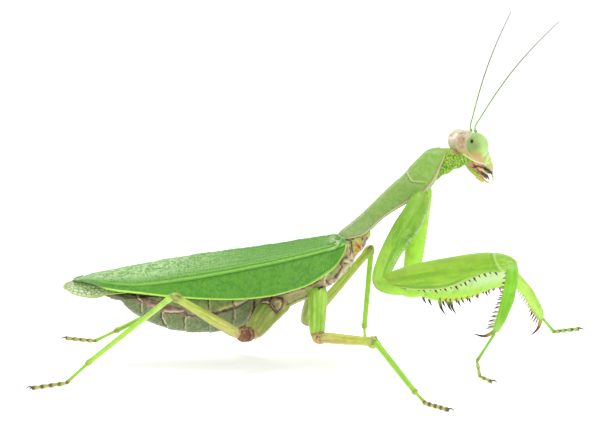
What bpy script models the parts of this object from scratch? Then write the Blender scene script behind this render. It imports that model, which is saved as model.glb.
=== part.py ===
# A life-size praying mantis, standing still on six feet.
# Sizes are in millimetres and turned into metres where a mesh is made.
# The animal looks along +X, its left side is at +Y, and the floor is at Z = 0.
import math
import random

import bmesh
import bpy
from mathutils import Vector

MM = 0.001
GAP = 0.3
# The rear rim of the shield is thin, so the body keeps a little further away from it.
SHIELD_GAP = 0.6
SEED = 7
FLOOR_LEVEL = 0.0

# The parent empty carries the whole animal, so that the middle of its box is at the origin.
BODY_OFFSET = (-2.6, 4.15, 0.0)

# Wings, as curves along X. A wing runs from its tip behind to its shoulder in front.
WING_TIP_X = -40.9
WING_SHOULDER_X = 6.9
WING_THICKNESS = 0.5
WING_STACK_STEP = 0.95
WING_ROWS = 27
COSTAL_COLUMNS = 3
DORSAL_COLUMNS = 6
MAIN_VEIN_RISE = 0.22
SMALL_VEIN_RISE = 0.10
RIDGE_HEIGHT = (
    (-40.9, 15.5), (-38.1, 16.1), (-33.1, 17.0), (-26.4, 18.3), (-19.7, 19.45),
    (-12.9, 20.4), (-6.2, 21.3), (0.5, 22.4), (5.3, 23.1), (6.9, 23.1),
)
VEIN_SIDE = (
    (-40.9, 1.0), (-38.0, 2.2), (-34.4, 3.8), (-29.4, 4.8), (-22.7, 5.2),
    (-9.5, 5.3), (-2.8, 5.1), (3.8, 4.3), (6.9, 3.7),
)
VEIN_HEIGHT = (
    (-40.9, 15.1), (-38.0, 15.4), (-34.4, 15.0), (-29.4, 14.9), (-22.8, 15.7),
    (-16.1, 16.8), (-9.5, 18.1), (-2.8, 19.5), (4.8, 21.3), (6.9, 22.1),
)
COSTAL_SIDE = (
    (-40.9, 1.3), (-39.6, 2.1), (-38.0, 2.9), (-34.4, 4.5), (-29.4, 5.8), (-22.7, 6.6),
    (-11.0, 6.8), (-2.8, 6.4), (0.5, 6.0), (3.8, 5.2), (5.4, 4.7), (6.7, 4.2), (6.9, 4.0),
)
COSTAL_HEIGHT = (
    (-40.9, 15.0), (-38.0, 14.8), (-34.4, 14.1), (-29.4, 13.7), (-22.7, 13.1), (-16.1, 12.7),
    (-11.2, 12.7), (-6.2, 13.2), (-2.8, 14.0), (0.5, 15.1), (3.8, 17.0), (5.4, 18.4),
    (6.7, 20.6), (6.9, 21.9),
)
SUTURE_SIDE = (
    (-40.9, -0.8), (-38.5, -0.55), (-36.5, 0.2), (-33.0, 1.2), (-30.0, 1.9), (-15.0, 2.4),
    (-3.0, 2.2), (1.5, 1.2), (3.4, 0.2), (4.4, -0.9), (5.6, -2.3), (6.9, -3.4),
)

# Hind wings, folded under the fore wings and a little longer than they are.
HINDWING_TIP_X = -42.6
HINDWING_FRONT_X = 1.0
HINDWING_ROWS = 18
HINDWING_COLUMNS = 5
HINDWING_INNER_SIDE = 0.3
HINDWING_VEIN_RISE = 0.10
HINDWING_TOP = (
    (-42.6, 14.1), (-40.2, 14.2), (-38.1, 14.3), (-33.1, 15.0), (-26.4, 16.4), (-19.7, 17.6),
    (-12.9, 18.5), (-6.2, 19.3), (0.5, 20.5), (1.5, 20.7),
)
HINDWING_SIDE = (
    (-42.6, 0.9), (-41.2, 2.2), (-38.5, 3.3), (-35.5, 3.8), (-33.5, 4.0), (-28.0, 4.2),
    (-10.0, 4.4), (0.0, 3.8), (1.5, 3.5),
)
HINDWING_LOW = (
    (-42.6, 13.8), (-41.2, 13.1), (-38.5, 12.6), (-35.5, 12.9), (-33.5, 13.2), (-28.0, 13.8),
    (-20.0, 15.1), (-10.0, 16.7), (0.0, 18.8), (1.5, 19.2),
)

# Abdomen: place along X, lowest and highest point, half width.
ABDOMEN_STATIONS = (
    (-9.2, 8.2, 17.6, 4.3), (-12.0, 6.7, 18.0, 5.2), (-16.4, 5.9, 17.6, 5.7),
    (-20.4, 5.9, 17.0, 5.8), (-24.5, 6.6, 16.2, 5.6), (-29.1, 8.5, 15.2, 4.9),
    (-33.0, 10.9, 14.3, 3.3), (-35.6, 12.1, 13.6, 1.4),
)
ABDOMEN_SEGMENTS = 8
ABDOMEN_SIDES = 18
SEGMENT_STEP = 0.16

# Middle and rear thorax in one: place along X, lowest and highest point, half width.
THORAX_STATIONS = (
    (11.2, 21.0, 24.0, 1.2), (9.6, 19.2, 23.6, 2.1), (7.6, 17.5, 23.4, 2.9), (5.0, 15.2, 22.0, 3.6),
    (2.6, 13.4, 21.8, 4.0), (1.3, 12.5, 20.0, 4.2), (-2.0, 10.9, 19.9, 4.6),
    (-5.5, 9.2, 18.9, 4.6), (-8.9, 8.1, 17.9, 4.3),
)
THORAX_SIDES = 18

# Front thorax with its long shield, in a frame of its own that leans up and a little left.
SHIELD_START = (6.0, 0.0, 22.4)
SHIELD_YAW = 11.4
SHIELD_PITCH = 40.0
# Distance along, height of the keel, depth of the margin, depth of the underside, half width.
SHIELD_STATIONS = (
    (0.2, 0.70, 0.0, 0.3, 1.7), (1.0, 0.88, 0.4, 1.0, 2.3), (3.0, 0.78, 1.5, 2.6, 2.7),
    (5.2, 0.74, 2.0, 3.6, 2.7), (7.5, 0.80, 2.1, 3.5, 2.6), (10.0, 0.97, 2.4, 3.3, 2.6),
    (13.0, 1.12, 2.8, 3.5, 2.9), (15.8, 1.10, 2.8, 3.7, 3.4), (17.4, 1.25, 2.6, 3.7, 3.7),
    (19.3, 1.50, 2.2, 3.3, 3.5), (21.4, 1.60, 1.3, 2.5, 3.0), (22.8, 1.05, 0.7, 2.0, 2.6),
    (23.7, 0.40, 0.2, 1.6, 2.2),
)

# Head, in a frame that looks down and a little away to the left.
HEAD_CENTRE = (28.3, 4.6, 38.75)
HEAD_YAW = 25.0
HEAD_TILT = 58.1
# Height, half width, reach to the front, reach to the back.
HEAD_STATIONS = (
    (2.35, 1.3, 0.0, 1.3), (2.05, 2.4, 0.8, 2.2), (1.2, 3.3, 1.6, 2.8), (0.0, 3.5, 2.1, 2.8),
    (-1.5, 3.2, 2.4, 2.4), (-3.0, 2.5, 2.5, 1.7), (-4.3, 1.9, 2.4, 0.9), (-5.4, 1.5, 2.2, 0.0),
    (-6.3, 1.25, 2.0, -0.8), (-7.2, 0.7, 1.6, -1.0),
)
HEAD_SIDES = 16
EYE_SIDE = 3.5
EYE_FORWARD = 0.3
EYE_RADII = (1.95, 1.5, 2.15)
EYE_LEAN = 0.22
# Mouth parts in the head's frame: distance from the middle, forward, above, and radius.
MANDIBLE = (
    (1.25, 0.7, -4.2, 0.65), (1.45, 0.75, -5.4, 0.7),
    (1.15, 0.8, -6.6, 0.5), (0.45, 0.85, -7.7, 0.15),
)
MAXILLA = (
    (1.2, -0.7, -3.0, 0.6), (1.25, -0.55, -5.0, 0.55),
    (1.0, -0.35, -6.8, 0.45), (0.5, -0.1, -8.2, 0.15),
)
MAXILLA_PALP = ((1.3, -0.6, -4.8, 0.3), (2.3, -0.3, -5.6, 0.3), (2.2, 0.3, -7.2, 0.27), (1.7, 0.7, -8.7, 0.2))
LABIUM = ((0.0, -1.6, -2.4, 0.9), (0.0, -1.55, -4.6, 0.85), (0.0, -1.2, -6.2, 0.7), (0.0, -0.9, -7.3, 0.4))
LABIUM_PALP = ((0.5, -1.3, -5.8, 0.28), (1.1, -1.1, -7.1, 0.28), (1.0, -0.5, -8.4, 0.2))
NECK = ((21.7, 3.2, 34.3, 2.0), (24.4, 3.8, 35.6, 1.9), (27.4, 4.4, 36.3, 1.6))
# Feelers: place of the base in the head's frame, tip of each, and how far each bows.
ANTENNA_BASE = (0.85, 2.15, 1.1)
ANTENNA_TIPS = {"right": (43.7, 0.0, 60.3), "left": (36.1, 8.6, 61.4)}
ANTENNA_BOWS = {"right": (-0.66, 0.0, 0.66), "left": (-0.54, 0.0, 0.48)}
ANTENNA_RADII = [0.36, 0.36] + [0.27] * 8 + [0.22, 0.12]
# Tail feelers: place along X, distance from the middle, height and radius.
CERCUS = (
    (-35.6, 0.75, 12.5, 0.4), (-37.0, 1.3, 12.2, 0.42),
    (-38.6, 1.7, 12.0, 0.36), (-39.8, 1.9, 12.0, 0.15),
)

# Legs. Each joint is a point of the pose: root, hip, knee, ankle, heel of the foot, toe.
POSE = {
    "fore_right": (
        (20.6, 0.3, 30.9), (13.0, -7.7, 15.8), (34.6, -17.0, 20.7), (32.5, -13.3, 8.4),
        (29.1, -15.7, 3.7), (29.7, -14.5, 0.75), (31.5, -16.9, 0.4),
    ),
    "fore_left": (
        (20.95, 5.2, 30.4), (17.9, 5.0, 12.5), (37.7, 15.6, 12.8), (43.6, 22.5, 4.1),
        (46.3, 26.8, 0.5), (48.6, 28.9, 0.4), (51.3, 30.2, 0.4),
    ),
    "mid_right": (
        (2.1, -3.2, 13.6), (1.9, -4.3, 5.6), (11.8, -17.4, 7.3), (18.1, -29.5, 1.2),
        (19.5, -33.6, 0.4), (23.0, -38.4, 0.35),
    ),
    "mid_left": (
        (2.1, 3.2, 12.9), (0.1, 7.6, 5.9), (11.8, 13.2, 18.6), (10.6, 14.9, 3.6),
        (10.8, 18.3, 0.5), (12.7, 24.0, 0.35),
    ),
    "hind_right": (
        (-5.8, -3.2, 11.6), (-10.9, -8.5, 6.4), (-22.2, -22.5, 16.2), (-37.2, -16.6, 3.4),
        (-40.6, -18.4, 0.45), (-46.1, -21.8, 0.35),
    ),
    "hind_left": (
        (-6.0, 3.2, 10.9), (-11.8, 6.8, 4.5), (-18.0, 25.7, 9.5), (-34.8, 16.1, 2.7),
        (-38.7, 18.3, 0.45), (-44.3, 21.5, 0.35),
    ),
}
# Share of the length, half width, reach behind, reach in front.
FORE_COXA = (
    (0.0, 1.3, 1.2, 1.4), (0.08, 1.7, 1.5, 2.0), (0.22, 1.8, 1.7, 2.3), (0.4, 1.8, 2.4, 2.3),
    (0.55, 1.7, 2.7, 1.4), (0.74, 1.5, 2.75, 0.45), (0.88, 1.3, 2.5, 0.5), (0.97, 1.1, 1.8, 0.7),
)
LEFT_FORE_COXA = (
    (0.0, 1.3, 1.2, 1.2), (0.08, 1.6, 1.5, 1.5), (0.22, 1.7, 1.8, 1.55), (0.4, 1.6, 2.1, 1.8),
    (0.55, 1.5, 1.8, 1.95), (0.74, 1.35, 1.25, 1.95), (0.88, 1.2, 1.2, 1.6), (0.97, 1.0, 1.0, 1.0),
)
COXA_STATIONS = {"right": FORE_COXA, "left": LEFT_FORE_COXA}
FORE_TROCHANTER = ((0.0, 1.0, 1.0, 1.0), (0.25, 1.4, 1.6, 1.4), (0.6, 1.3, 1.3, 1.3), (1.0, 0.8, 0.7, 0.7))
FORE_FEMUR = (
    (0.04, 0.9, 1.2, 0.7), (0.12, 1.2, 1.8, 1.1), (0.25, 1.5, 2.3, 2.0), (0.42, 1.6, 2.6, 2.5),
    (0.57, 1.5, 2.7, 2.3), (0.70, 1.4, 2.7, 1.4), (0.82, 1.2, 2.6, 0.8), (0.93, 1.1, 2.1, 1.1),
    (1.0, 0.8, 1.3, 0.9), (1.03, 0.4, 0.6, 0.5),
)
FORE_TIBIA = (
    (-0.05, 0.5, 0.8, 0.6), (0.02, 0.8, 1.1, 0.9), (0.2, 0.9, 1.35, 0.7), (0.45, 0.85, 1.5, 0.55),
    (0.7, 0.75, 1.25, 0.55), (0.92, 0.6, 0.85, 0.65), (1.0, 0.4, 0.4, 0.6),
)
MID_COXA = ((0.0, 1.4, 1.5, 1.5), (0.35, 1.5, 1.5, 1.5), (0.8, 1.3, 1.3, 1.3), (1.0, 0.9, 0.9, 0.9))
HIND_COXA = ((0.0, 1.9, 2.8, 3.3), (0.4, 1.7, 2.2, 2.9), (0.8, 1.3, 1.5, 1.5), (1.0, 1.0, 1.0, 1.0))
TROCHANTER = ((0.0, 0.6, 0.7, 0.7), (0.3, 1.0, 1.1, 1.1), (0.75, 0.9, 1.0, 1.0), (1.0, 0.5, 0.6, 0.6))
MID_FEMUR = (
    (0.06, 0.5, 0.6, 0.6), (0.15, 0.7, 0.85, 0.85), (0.5, 0.7, 0.85, 0.85), (0.88, 0.6, 0.75, 0.75),
    (0.96, 0.65, 0.8, 0.8), (1.0, 0.4, 0.5, 0.5),
)
HIND_FEMUR = (
    (0.05, 0.5, 0.6, 0.6), (0.14, 0.75, 0.95, 0.95), (0.4, 0.75, 0.95, 0.95), (0.88, 0.55, 0.7, 0.7),
    (0.96, 0.65, 0.8, 0.8), (1.0, 0.4, 0.5, 0.5),
)
TIBIA = (
    (-0.01, 0.3, 0.35, 0.35), (0.03, 0.55, 0.65, 0.65), (0.12, 0.5, 0.6, 0.6), (0.55, 0.48, 0.55, 0.55),
    (0.92, 0.45, 0.5, 0.5), (0.97, 0.55, 0.6, 0.6), (1.0, 0.35, 0.4, 0.4),
)
# Rows of spines: how many, first and last share of the length, place across the
# section, shorter and taller length, and thickness at the root.
FEMUR_SPINES = (
    (13, 0.30, 0.85, -0.62, 1.2, 2.0, 0.52),
    (5, 0.36, 0.77, 0.66, 1.6, 2.3, 0.58),
    (4, 0.22, 0.36, -0.05, 1.5, 2.6, 0.60),
)
TIBIA_SPINES = ((8, 0.36, 0.95, 0.55), (9, 0.32, 0.93, -0.55))
TIBIA_SPINE_LENGTH = 0.75
TIBIA_SPINE_THICKNESS = 0.5
COXA_TEETH = (7, 0.16, 0.86)
COXA_TOOTH_SIZE = (0.7, 0.5)
# Claw at the end of the grasping tibia: along the tibia past its end, into its bend, radius.
HOOK = ((-0.5, 0.0, 0.5), (0.45, 0.8, 0.55), (1.5, 2.1, 0.38), (1.65, 3.7, 0.08))
SPUR_SIZE = (0.7, 0.5)
# The left femur shows more of its deep underside than the right one.
TROCHANTER_DROP = {"right": 0.47, "left": 0.2}
FEMUR_BELLY = {"right": 1.0, "left": 1.35}
LIMB_SIDES = 8
FOOT_SIDES = 6

COLOURS = {
    "leaf_green": (0.20, 0.52, 0.10),
    "wing_green": (0.10, 0.46, 0.08),
    "hindwing_grey": (0.42, 0.55, 0.36),
    "shield_green": (0.36, 0.56, 0.22),
    "belly_green": (0.28, 0.38, 0.20),
    "thorax_brown": (0.44, 0.36, 0.26),
    "leg_brown": (0.48, 0.46, 0.20),
    "foot_brown": (0.30, 0.24, 0.12),
    "joint_orange": (0.52, 0.24, 0.10),
    "head_mauve": (0.62, 0.52, 0.42),
    "eye_green": (0.45, 0.68, 0.35),
    "mouth_red": (0.40, 0.10, 0.12),
    "feeler_green": (0.25, 0.42, 0.14),
}


def smooth_curve(knots, x):
    """Height of a smooth curve through sorted knots, flat past its ends."""
    if x <= knots[0][0]:
        return knots[0][1]
    if x >= knots[-1][0]:
        return knots[-1][1]
    index = 0
    while knots[index + 1][0] < x:
        index += 1

    def slope_at(k):
        left = max(k - 1, 0)
        right = min(k + 1, len(knots) - 1)
        return (knots[right][1] - knots[left][1]) / (knots[right][0] - knots[left][0])

    x0, y0 = knots[index]
    x1, y1 = knots[index + 1]
    span = x1 - x0
    t = (x - x0) / span
    m0 = slope_at(index) * span
    m1 = slope_at(index + 1) * span
    return (
        (2 * t**3 - 3 * t**2 + 1) * y0 + (t**3 - 2 * t**2 + t) * m0
        + (3 * t**2 - 2 * t**3) * y1 + (t**3 - t**2) * m1
    )


def ease(value):
    """Zero below 0, one above 1, and smooth between."""
    value = min(max(value, 0.0), 1.0)
    return value * value * (3.0 - 2.0 * value)


def make_material(name):
    """A plain Principled material in one of the animal's colours."""
    material = bpy.data.materials.new(name)
    material.use_nodes = True
    shader = material.node_tree.nodes["Principled BSDF"]
    shader.inputs["Base Color"].default_value = (*COLOURS[name], 1.0)
    shader.inputs["Roughness"].default_value = 0.5
    shader.inputs["Metallic"].default_value = 0.0
    material.diffuse_color = (*COLOURS[name], 1.0)
    return material


def new_object(name, bm, colour=None):
    """Turn a closed bmesh into an object of the scene."""
    bmesh.ops.recalc_face_normals(bm, faces=bm.faces)
    mesh = bpy.data.meshes.new(name)
    bm.to_mesh(mesh)
    bm.free()
    mesh.shade_smooth()
    made = bpy.data.objects.new(name, mesh)
    bpy.context.scene.collection.objects.link(made)
    made.parent = body_frame
    if colour:
        mesh.materials.append(MATERIALS[colour])
    return made


def loft(name, rings, colour=None):
    """A closed skin over rings of equal counts, with a fan over each end."""
    bm = bmesh.new()
    rows = []
    for ring in rings:
        rows.append([bm.verts.new(Vector(point) * MM) for point in ring])
    for near, far in zip(rows, rows[1:]):
        count = len(near)
        for k in range(count):
            following = (k + 1) % count
            bm.faces.new((near[k], near[following], far[following], far[k]))
    for ring in (rows[0], rows[-1]):
        middle = Vector((0.0, 0.0, 0.0))
        for corner in ring:
            middle += corner.co
        centre = bm.verts.new(middle / len(ring))
        for k in range(len(ring)):
            bm.faces.new((ring[k], ring[(k + 1) % len(ring)], centre))
    bmesh.ops.triangulate(bm, faces=bm.faces)
    return new_object(name, bm, colour)


def oval_ring(centre, across, depth, half_width, behind, front, sides, fullness=1.0):
    """A ring of points, wider to one side of its centre where behind and front differ."""
    points = []
    for k in range(sides):
        angle = 2.0 * math.pi * (k + 0.5) / sides
        c = math.cos(angle)
        s = math.sin(angle)
        c = math.copysign(abs(c) ** fullness, c)
        s = math.copysign(abs(s) ** fullness, s)
        reach = front if s > 0 else behind
        points.append(centre + across * (half_width * c) + depth * (reach * s))
    return points


def limb_frame(start, end, hint):
    """Unit vectors along, across and in the depth of a limb."""
    along = (end - start).normalized()
    depth = (hint - along * hint.dot(along)).normalized()
    across = depth.cross(along)
    return along, across, depth


def limb(name, start, end, stations, hint, colour, sides=LIMB_SIDES):
    """A straight limb with oval sections."""
    along, across, depth = limb_frame(start, end, hint)
    rings = []
    for share, half_width, behind, front in stations:
        rings.append(oval_ring(start.lerp(end, share), across, depth, half_width, behind, front, sides))
    return loft(name, rings, colour)


def tube(name, path, radii, sides, colour=None, floor=None):
    """A round tube along a path, with its underside kept on the floor where one is given."""
    rings = []
    hint = Vector((0.0, 0.0, 1.0))
    for k, point in enumerate(path):
        before = path[max(k - 1, 0)]
        after = path[min(k + 1, len(path) - 1)]
        along = (after - before).normalized()
        if abs(along.dot(hint)) > 0.9:
            hint = Vector((1.0, 0.0, 0.0))
        depth = (hint - along * hint.dot(along)).normalized()
        across = depth.cross(along)
        ring = oval_ring(point, across, depth, radii[k], radii[k], radii[k], sides)
        if floor is not None:
            for corner in ring:
                corner.z = max(corner.z, floor)
        rings.append(ring)
        hint = depth
    return loft(name, rings, colour)


def spike(name, root, direction, bend, length, thickness, sides=3):
    """A tapered, slightly bent spine whose root is sunk in the surface it grows from."""
    direction = direction.normalized()
    bend = (bend - direction * bend.dot(direction)).normalized()
    sunk = root - direction * (thickness * 0.9)
    middle = root + direction * (length * 0.5)
    tip = root + direction * length + bend * (length * 0.18)
    path = [sunk, middle, tip]
    return tube(name, path, [thickness * 0.55, thickness * 0.36, 0.06], sides)


def boolean(target, others, operation):
    """Join or cut a closed mesh with others, which are then removed."""
    holder = bpy.data.collections.new("boolean_parts")
    bpy.context.scene.collection.children.link(holder)
    for other in others:
        for owner in list(other.users_collection):
            owner.objects.unlink(other)
        holder.objects.link(other)
    modifier = target.modifiers.new("boolean", "BOOLEAN")
    modifier.operation = operation
    modifier.operand_type = "COLLECTION"
    modifier.collection = holder
    modifier.solver = "EXACT"
    bpy.context.view_layer.update()
    graph = bpy.context.evaluated_depsgraph_get()
    made = bpy.data.meshes.new_from_object(target.evaluated_get(graph))
    old = target.data
    target.modifiers.clear()
    target.data = made
    bpy.data.meshes.remove(old)
    for other in others:
        bpy.data.objects.remove(other)
    bpy.data.collections.remove(holder)
    keep_largest(target)
    return target


def keep_largest(target):
    """Keep only the largest closed surface of a mesh, in triangles."""
    bm = bmesh.new()
    bm.from_mesh(target.data)
    bmesh.ops.remove_doubles(bm, verts=bm.verts, dist=0.000001)
    bmesh.ops.dissolve_degenerate(bm, edges=bm.edges, dist=0.000001)
    bmesh.ops.triangulate(bm, faces=bm.faces)
    unseen = set(bm.faces)
    groups = []
    while unseen:
        first = unseen.pop()
        group = [first]
        waiting = [first]
        while waiting:
            face = waiting.pop()
            for edge in face.edges:
                for other in edge.link_faces:
                    if other in unseen:
                        unseen.remove(other)
                        group.append(other)
                        waiting.append(other)
        groups.append(group)
    groups.sort(key=lambda group: sum(face.calc_area() for face in group))
    for group in groups[:-1]:
        bmesh.ops.delete(bm, geom=group, context="FACES")
    bmesh.ops.recalc_face_normals(bm, faces=bm.faces)
    bm.to_mesh(target.data)
    bm.free()
    target.data.shade_smooth()


def grown_copy(source, distance=GAP):
    """A copy of a mesh that stands out by a distance on every side, used to cut clear of it."""
    bm = bmesh.new()
    bm.from_mesh(source.data)
    bm.normal_update()
    moves = []
    for corner in bm.verts:
        factor = min(corner.calc_shell_factor(), 1.8)
        moves.append(corner.normal * (distance * MM * factor))
    for corner, move in zip(bm.verts, moves):
        corner.co += move
    return new_object(source.name + "_cutter", bm)


def clear_of(target, *neighbours):
    """Cut a node clear of the nodes that it meets, face to face across the gap."""
    boolean(target, [grown_copy(neighbour) for neighbour in neighbours], "DIFFERENCE")
    return target


def wing_surface(x, side, under):
    """Outer surface of the folded fore wings, for a distance from the middle."""
    away = abs(side)
    ridge = smooth_curve(RIDGE_HEIGHT, x)
    vein_side = smooth_curve(VEIN_SIDE, x)
    vein_height = smooth_curve(VEIN_HEIGHT, x)
    if away <= vein_side:
        height = ridge - (ridge - vein_height) * (away / vein_side) ** 1.5
    else:
        costal_side = smooth_curve(COSTAL_SIDE, x)
        costal_height = smooth_curve(COSTAL_HEIGHT, x)
        share = (away - vein_side) / max(costal_side - vein_side, 0.05)
        height = vein_height - (vein_height - costal_height) * share
    if under:
        tucked = ease((4.8 - side) / 1.9) * ease((6.0 - x) / 2.6) * ease((x + 39.6) / 2.0)
        height -= WING_STACK_STEP * tucked
    return height


def hindwing_surface(x, away):
    """Outer surface of the folded hind wings."""
    side = smooth_curve(HINDWING_SIDE, x)
    top = smooth_curve(HINDWING_TOP, x)
    low = smooth_curve(HINDWING_LOW, x)
    return top - (top - low) * (min(away, side) / side) ** 1.5


def under_the_wings(x, y):
    """Highest level that the body may reach below the folded wings."""
    away = abs(y)
    roof = wing_surface(x, away, False) - 2 * WING_STACK_STEP - GAP
    if x < HINDWING_FRONT_X + 0.4:
        roof = min(roof, hindwing_surface(x, away) - WING_THICKNESS - 2 * GAP)
    return roof


def sheet(name, grid, rises, colour):
    """A thin closed sheet from a grid of points of its outer face, split alike on both faces."""
    rows = len(grid)
    columns = len(grid[0])
    bm = bmesh.new()
    outer = []
    inner = []
    for i in range(rows):
        outer_row = []
        inner_row = []
        for j in range(columns):
            lengthways = grid[min(i + 1, rows - 1)][j] - grid[max(i - 1, 0)][j]
            crossways = grid[i][min(j + 1, columns - 1)] - grid[i][max(j - 1, 0)]
            normal = lengthways.cross(crossways).normalized()
            if normal.z < 0:
                normal = -normal
            outer_row.append(bm.verts.new((grid[i][j] + normal * rises[i][j]) * MM))
            inner_row.append(bm.verts.new((grid[i][j] - normal * WING_THICKNESS) * MM))
        outer.append(outer_row)
        inner.append(inner_row)
    for i in range(rows - 1):
        for j in range(columns - 1):
            for face in (outer, inner):
                a = face[i][j]
                b = face[i + 1][j]
                c = face[i + 1][j + 1]
                d = face[i][j + 1]
                bm.faces.new((a, b, c))
                bm.faces.new((a, c, d))
    border = [(i, 0) for i in range(rows)]
    border += [(rows - 1, j) for j in range(1, columns)]
    border += [(i, columns - 1) for i in range(rows - 2, -1, -1)]
    border += [(0, j) for j in range(columns - 2, 0, -1)]
    for k, (i, j) in enumerate(border):
        p, q = border[(k + 1) % len(border)]
        bm.faces.new((outer[i][j], outer[p][q], inner[p][q]))
        bm.faces.new((outer[i][j], inner[p][q], inner[i][j]))
    return new_object(name, bm, colour)


def make_forewing(name, hand, under):
    """One leathery fore wing; hand is -1 on the right and 1 on the left."""
    grid = []
    rises = []
    for i in range(WING_ROWS):
        swing = (1.0 - math.cos(math.pi * i / (WING_ROWS - 1))) / 2.0
        even = i / (WING_ROWS - 1)
        x = WING_SHOULDER_X + (WING_TIP_X - WING_SHOULDER_X) * (0.6 * even + 0.4 * swing)
        costal = smooth_curve(COSTAL_SIDE, x)
        vein = smooth_curve(VEIN_SIDE, x)
        suture = smooth_curve(SUTURE_SIDE, x)
        row = []
        rise_row = []
        for j in range(COSTAL_COLUMNS + DORSAL_COLUMNS + 1):
            if j <= COSTAL_COLUMNS:
                side = costal + (vein - costal) * j / COSTAL_COLUMNS
            else:
                side = vein + (-suture - vein) * (j - COSTAL_COLUMNS) / DORSAL_COLUMNS
            height = wing_surface(x, side, under)
            row.append(Vector((x, hand * side, height)))
            rise = 0.0
            if 0 < i < WING_ROWS - 1:
                if j == COSTAL_COLUMNS:
                    rise = MAIN_VEIN_RISE
                elif 0 < j < COSTAL_COLUMNS and i % 2 == 0:
                    rise = SMALL_VEIN_RISE
                elif j in (COSTAL_COLUMNS + 2, COSTAL_COLUMNS + 4):
                    rise = SMALL_VEIN_RISE
            rise_row.append(rise)
        grid.append(row)
        rises.append(rise_row)
    return sheet(name, grid, rises, "wing_green")


def make_hindwing(name, hand):
    """One folded hind wing under the fore wings."""
    grid = []
    rises = []
    for i in range(HINDWING_ROWS):
        share = i / (HINDWING_ROWS - 1)
        x = HINDWING_FRONT_X + (HINDWING_TIP_X - HINDWING_FRONT_X) * share
        edge = smooth_curve(HINDWING_SIDE, x)
        row = []
        rise_row = []
        for j in range(HINDWING_COLUMNS + 1):
            away = edge + (HINDWING_INNER_SIDE - edge) * j / HINDWING_COLUMNS
            row.append(Vector((x, hand * away, hindwing_surface(x, away))))
            ridge = j in (2, 4) and x < -34.0 and i < HINDWING_ROWS - 1
            rise_row.append(HINDWING_VEIN_RISE if ridge else 0.0)
        grid.append(row)
        rises.append(rise_row)
    return sheet(name, grid, rises, "hindwing_grey")


def body_ring(x, low, high, half_width, sides, fullness):
    """A section of the trunk, lowered where the folded wings lie over it."""
    middle = Vector((x, 0.0, (low + high) / 2.0))
    reach = (high - low) / 2.0
    across = Vector((0.0, 1.0, 0.0))
    up = Vector((0.0, 0.0, 1.0))
    ring = oval_ring(middle, across, up, half_width, reach, reach, sides, fullness)
    for corner in ring:
        corner.z = min(corner.z, under_the_wings(x, corner.y))
    return ring


def make_abdomen():
    """The abdomen, with a low step at the rear edge of each segment."""
    front = ABDOMEN_STATIONS[0][0]
    back = ABDOMEN_STATIONS[-1][0]
    lows = sorted((x, low) for x, low, high, wide in ABDOMEN_STATIONS)
    highs = sorted((x, high) for x, low, high, wide in ABDOMEN_STATIONS)
    widths = sorted((x, wide) for x, low, high, wide in ABDOMEN_STATIONS)
    rings = []
    length = back - front
    for segment in range(ABDOMEN_SEGMENTS):
        for share, step in ((0.02, 0.0), (0.55, 0.4), (0.97, 1.0)):
            x = front + length * (segment + share) / ABDOMEN_SEGMENTS
            if segment == 0 and share < 0.1:
                x = front
            grow = SEGMENT_STEP * step
            low = smooth_curve(lows, x) - grow
            high = smooth_curve(highs, x)
            wide = smooth_curve(widths, x) + grow
            rings.append(body_ring(x, low, high, wide, ABDOMEN_SIDES, 0.92))
    return loft("abdomen", rings, "belly_green")


def make_thorax():
    """Middle and rear thorax, which carry the wings and four of the legs."""
    rings = []
    for x, low, high, wide in THORAX_STATIONS:
        middle = Vector((x, 0.0, (low + high) / 2.0))
        reach = (high - low) / 2.0
        if x > 1.5:
            across = Vector((0.0, 1.0, 0.0))
            up = Vector((0.0, 0.0, 1.0))
            ring = oval_ring(middle, across, up, wide, reach, reach, THORAX_SIDES, 0.85)
            for corner in ring:
                limit = wing_surface(x, abs(corner.y), False) - WING_STACK_STEP - WING_THICKNESS - GAP
                if x < WING_SHOULDER_X:
                    corner.z = min(corner.z, limit)
        else:
            ring = body_ring(x, low, high, wide, THORAX_SIDES, 0.85)
        rings.append(ring)
    return loft("thorax", rings, "thorax_brown")


def leaning_frame(yaw, pitch):
    """Unit vectors forward, left and up of a part that is turned and then raised."""
    yaw = math.radians(yaw)
    pitch = math.radians(pitch)
    level = Vector((math.cos(yaw), math.sin(yaw), 0.0))
    left = Vector((-math.sin(yaw), math.cos(yaw), 0.0))
    top = Vector((0.0, 0.0, 1.0))
    forward = level * math.cos(pitch) + top * math.sin(pitch)
    up = top * math.cos(pitch) - level * math.sin(pitch)
    return forward, left, up


def make_prothorax():
    """The long shield with its edges and the narrow underside beneath it."""
    start = Vector(SHIELD_START)
    forward, left, up = leaning_frame(SHIELD_YAW, SHIELD_PITCH)
    rings = []
    for along, keel, margin, under, wide in SHIELD_STATIONS:
        middle = start + forward * along
        height = keel + margin
        profile = (
            (0.0, keel), (0.35, keel - height * 0.09), (0.68, keel - height * 0.38),
            (0.9, keel - height * 0.74), (1.0, -margin), (0.94, -margin - 0.28),
            (0.72, -margin - (under - margin) * 0.45), (0.42, -under * 0.97),
        )
        ring = [middle + up * keel]
        for share, level in profile[1:]:
            ring.append(middle + left * (wide * share) + up * level)
        ring.append(middle - up * under)
        for share, level in reversed(profile[1:]):
            ring.append(middle - left * (wide * share) + up * level)
        rings.append(ring)
    return loft("pronotum", rings, "shield_green")


def head_point(left_of, forward_of, above):
    """A point in the head's own frame."""
    forward, left, up = HEAD_AXES
    return Vector(HEAD_CENTRE) + left * left_of + forward * forward_of + up * above


def head_tube(name, rows, hand, sides, colour=None):
    """A mouth part as a tube in the head's frame; hand is -1 on the right and 1 on the left."""
    path = [head_point(hand * aside, ahead, above) for aside, ahead, above, radius in rows]
    return tube(name, path, [row[3] for row in rows], sides, colour)


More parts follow.
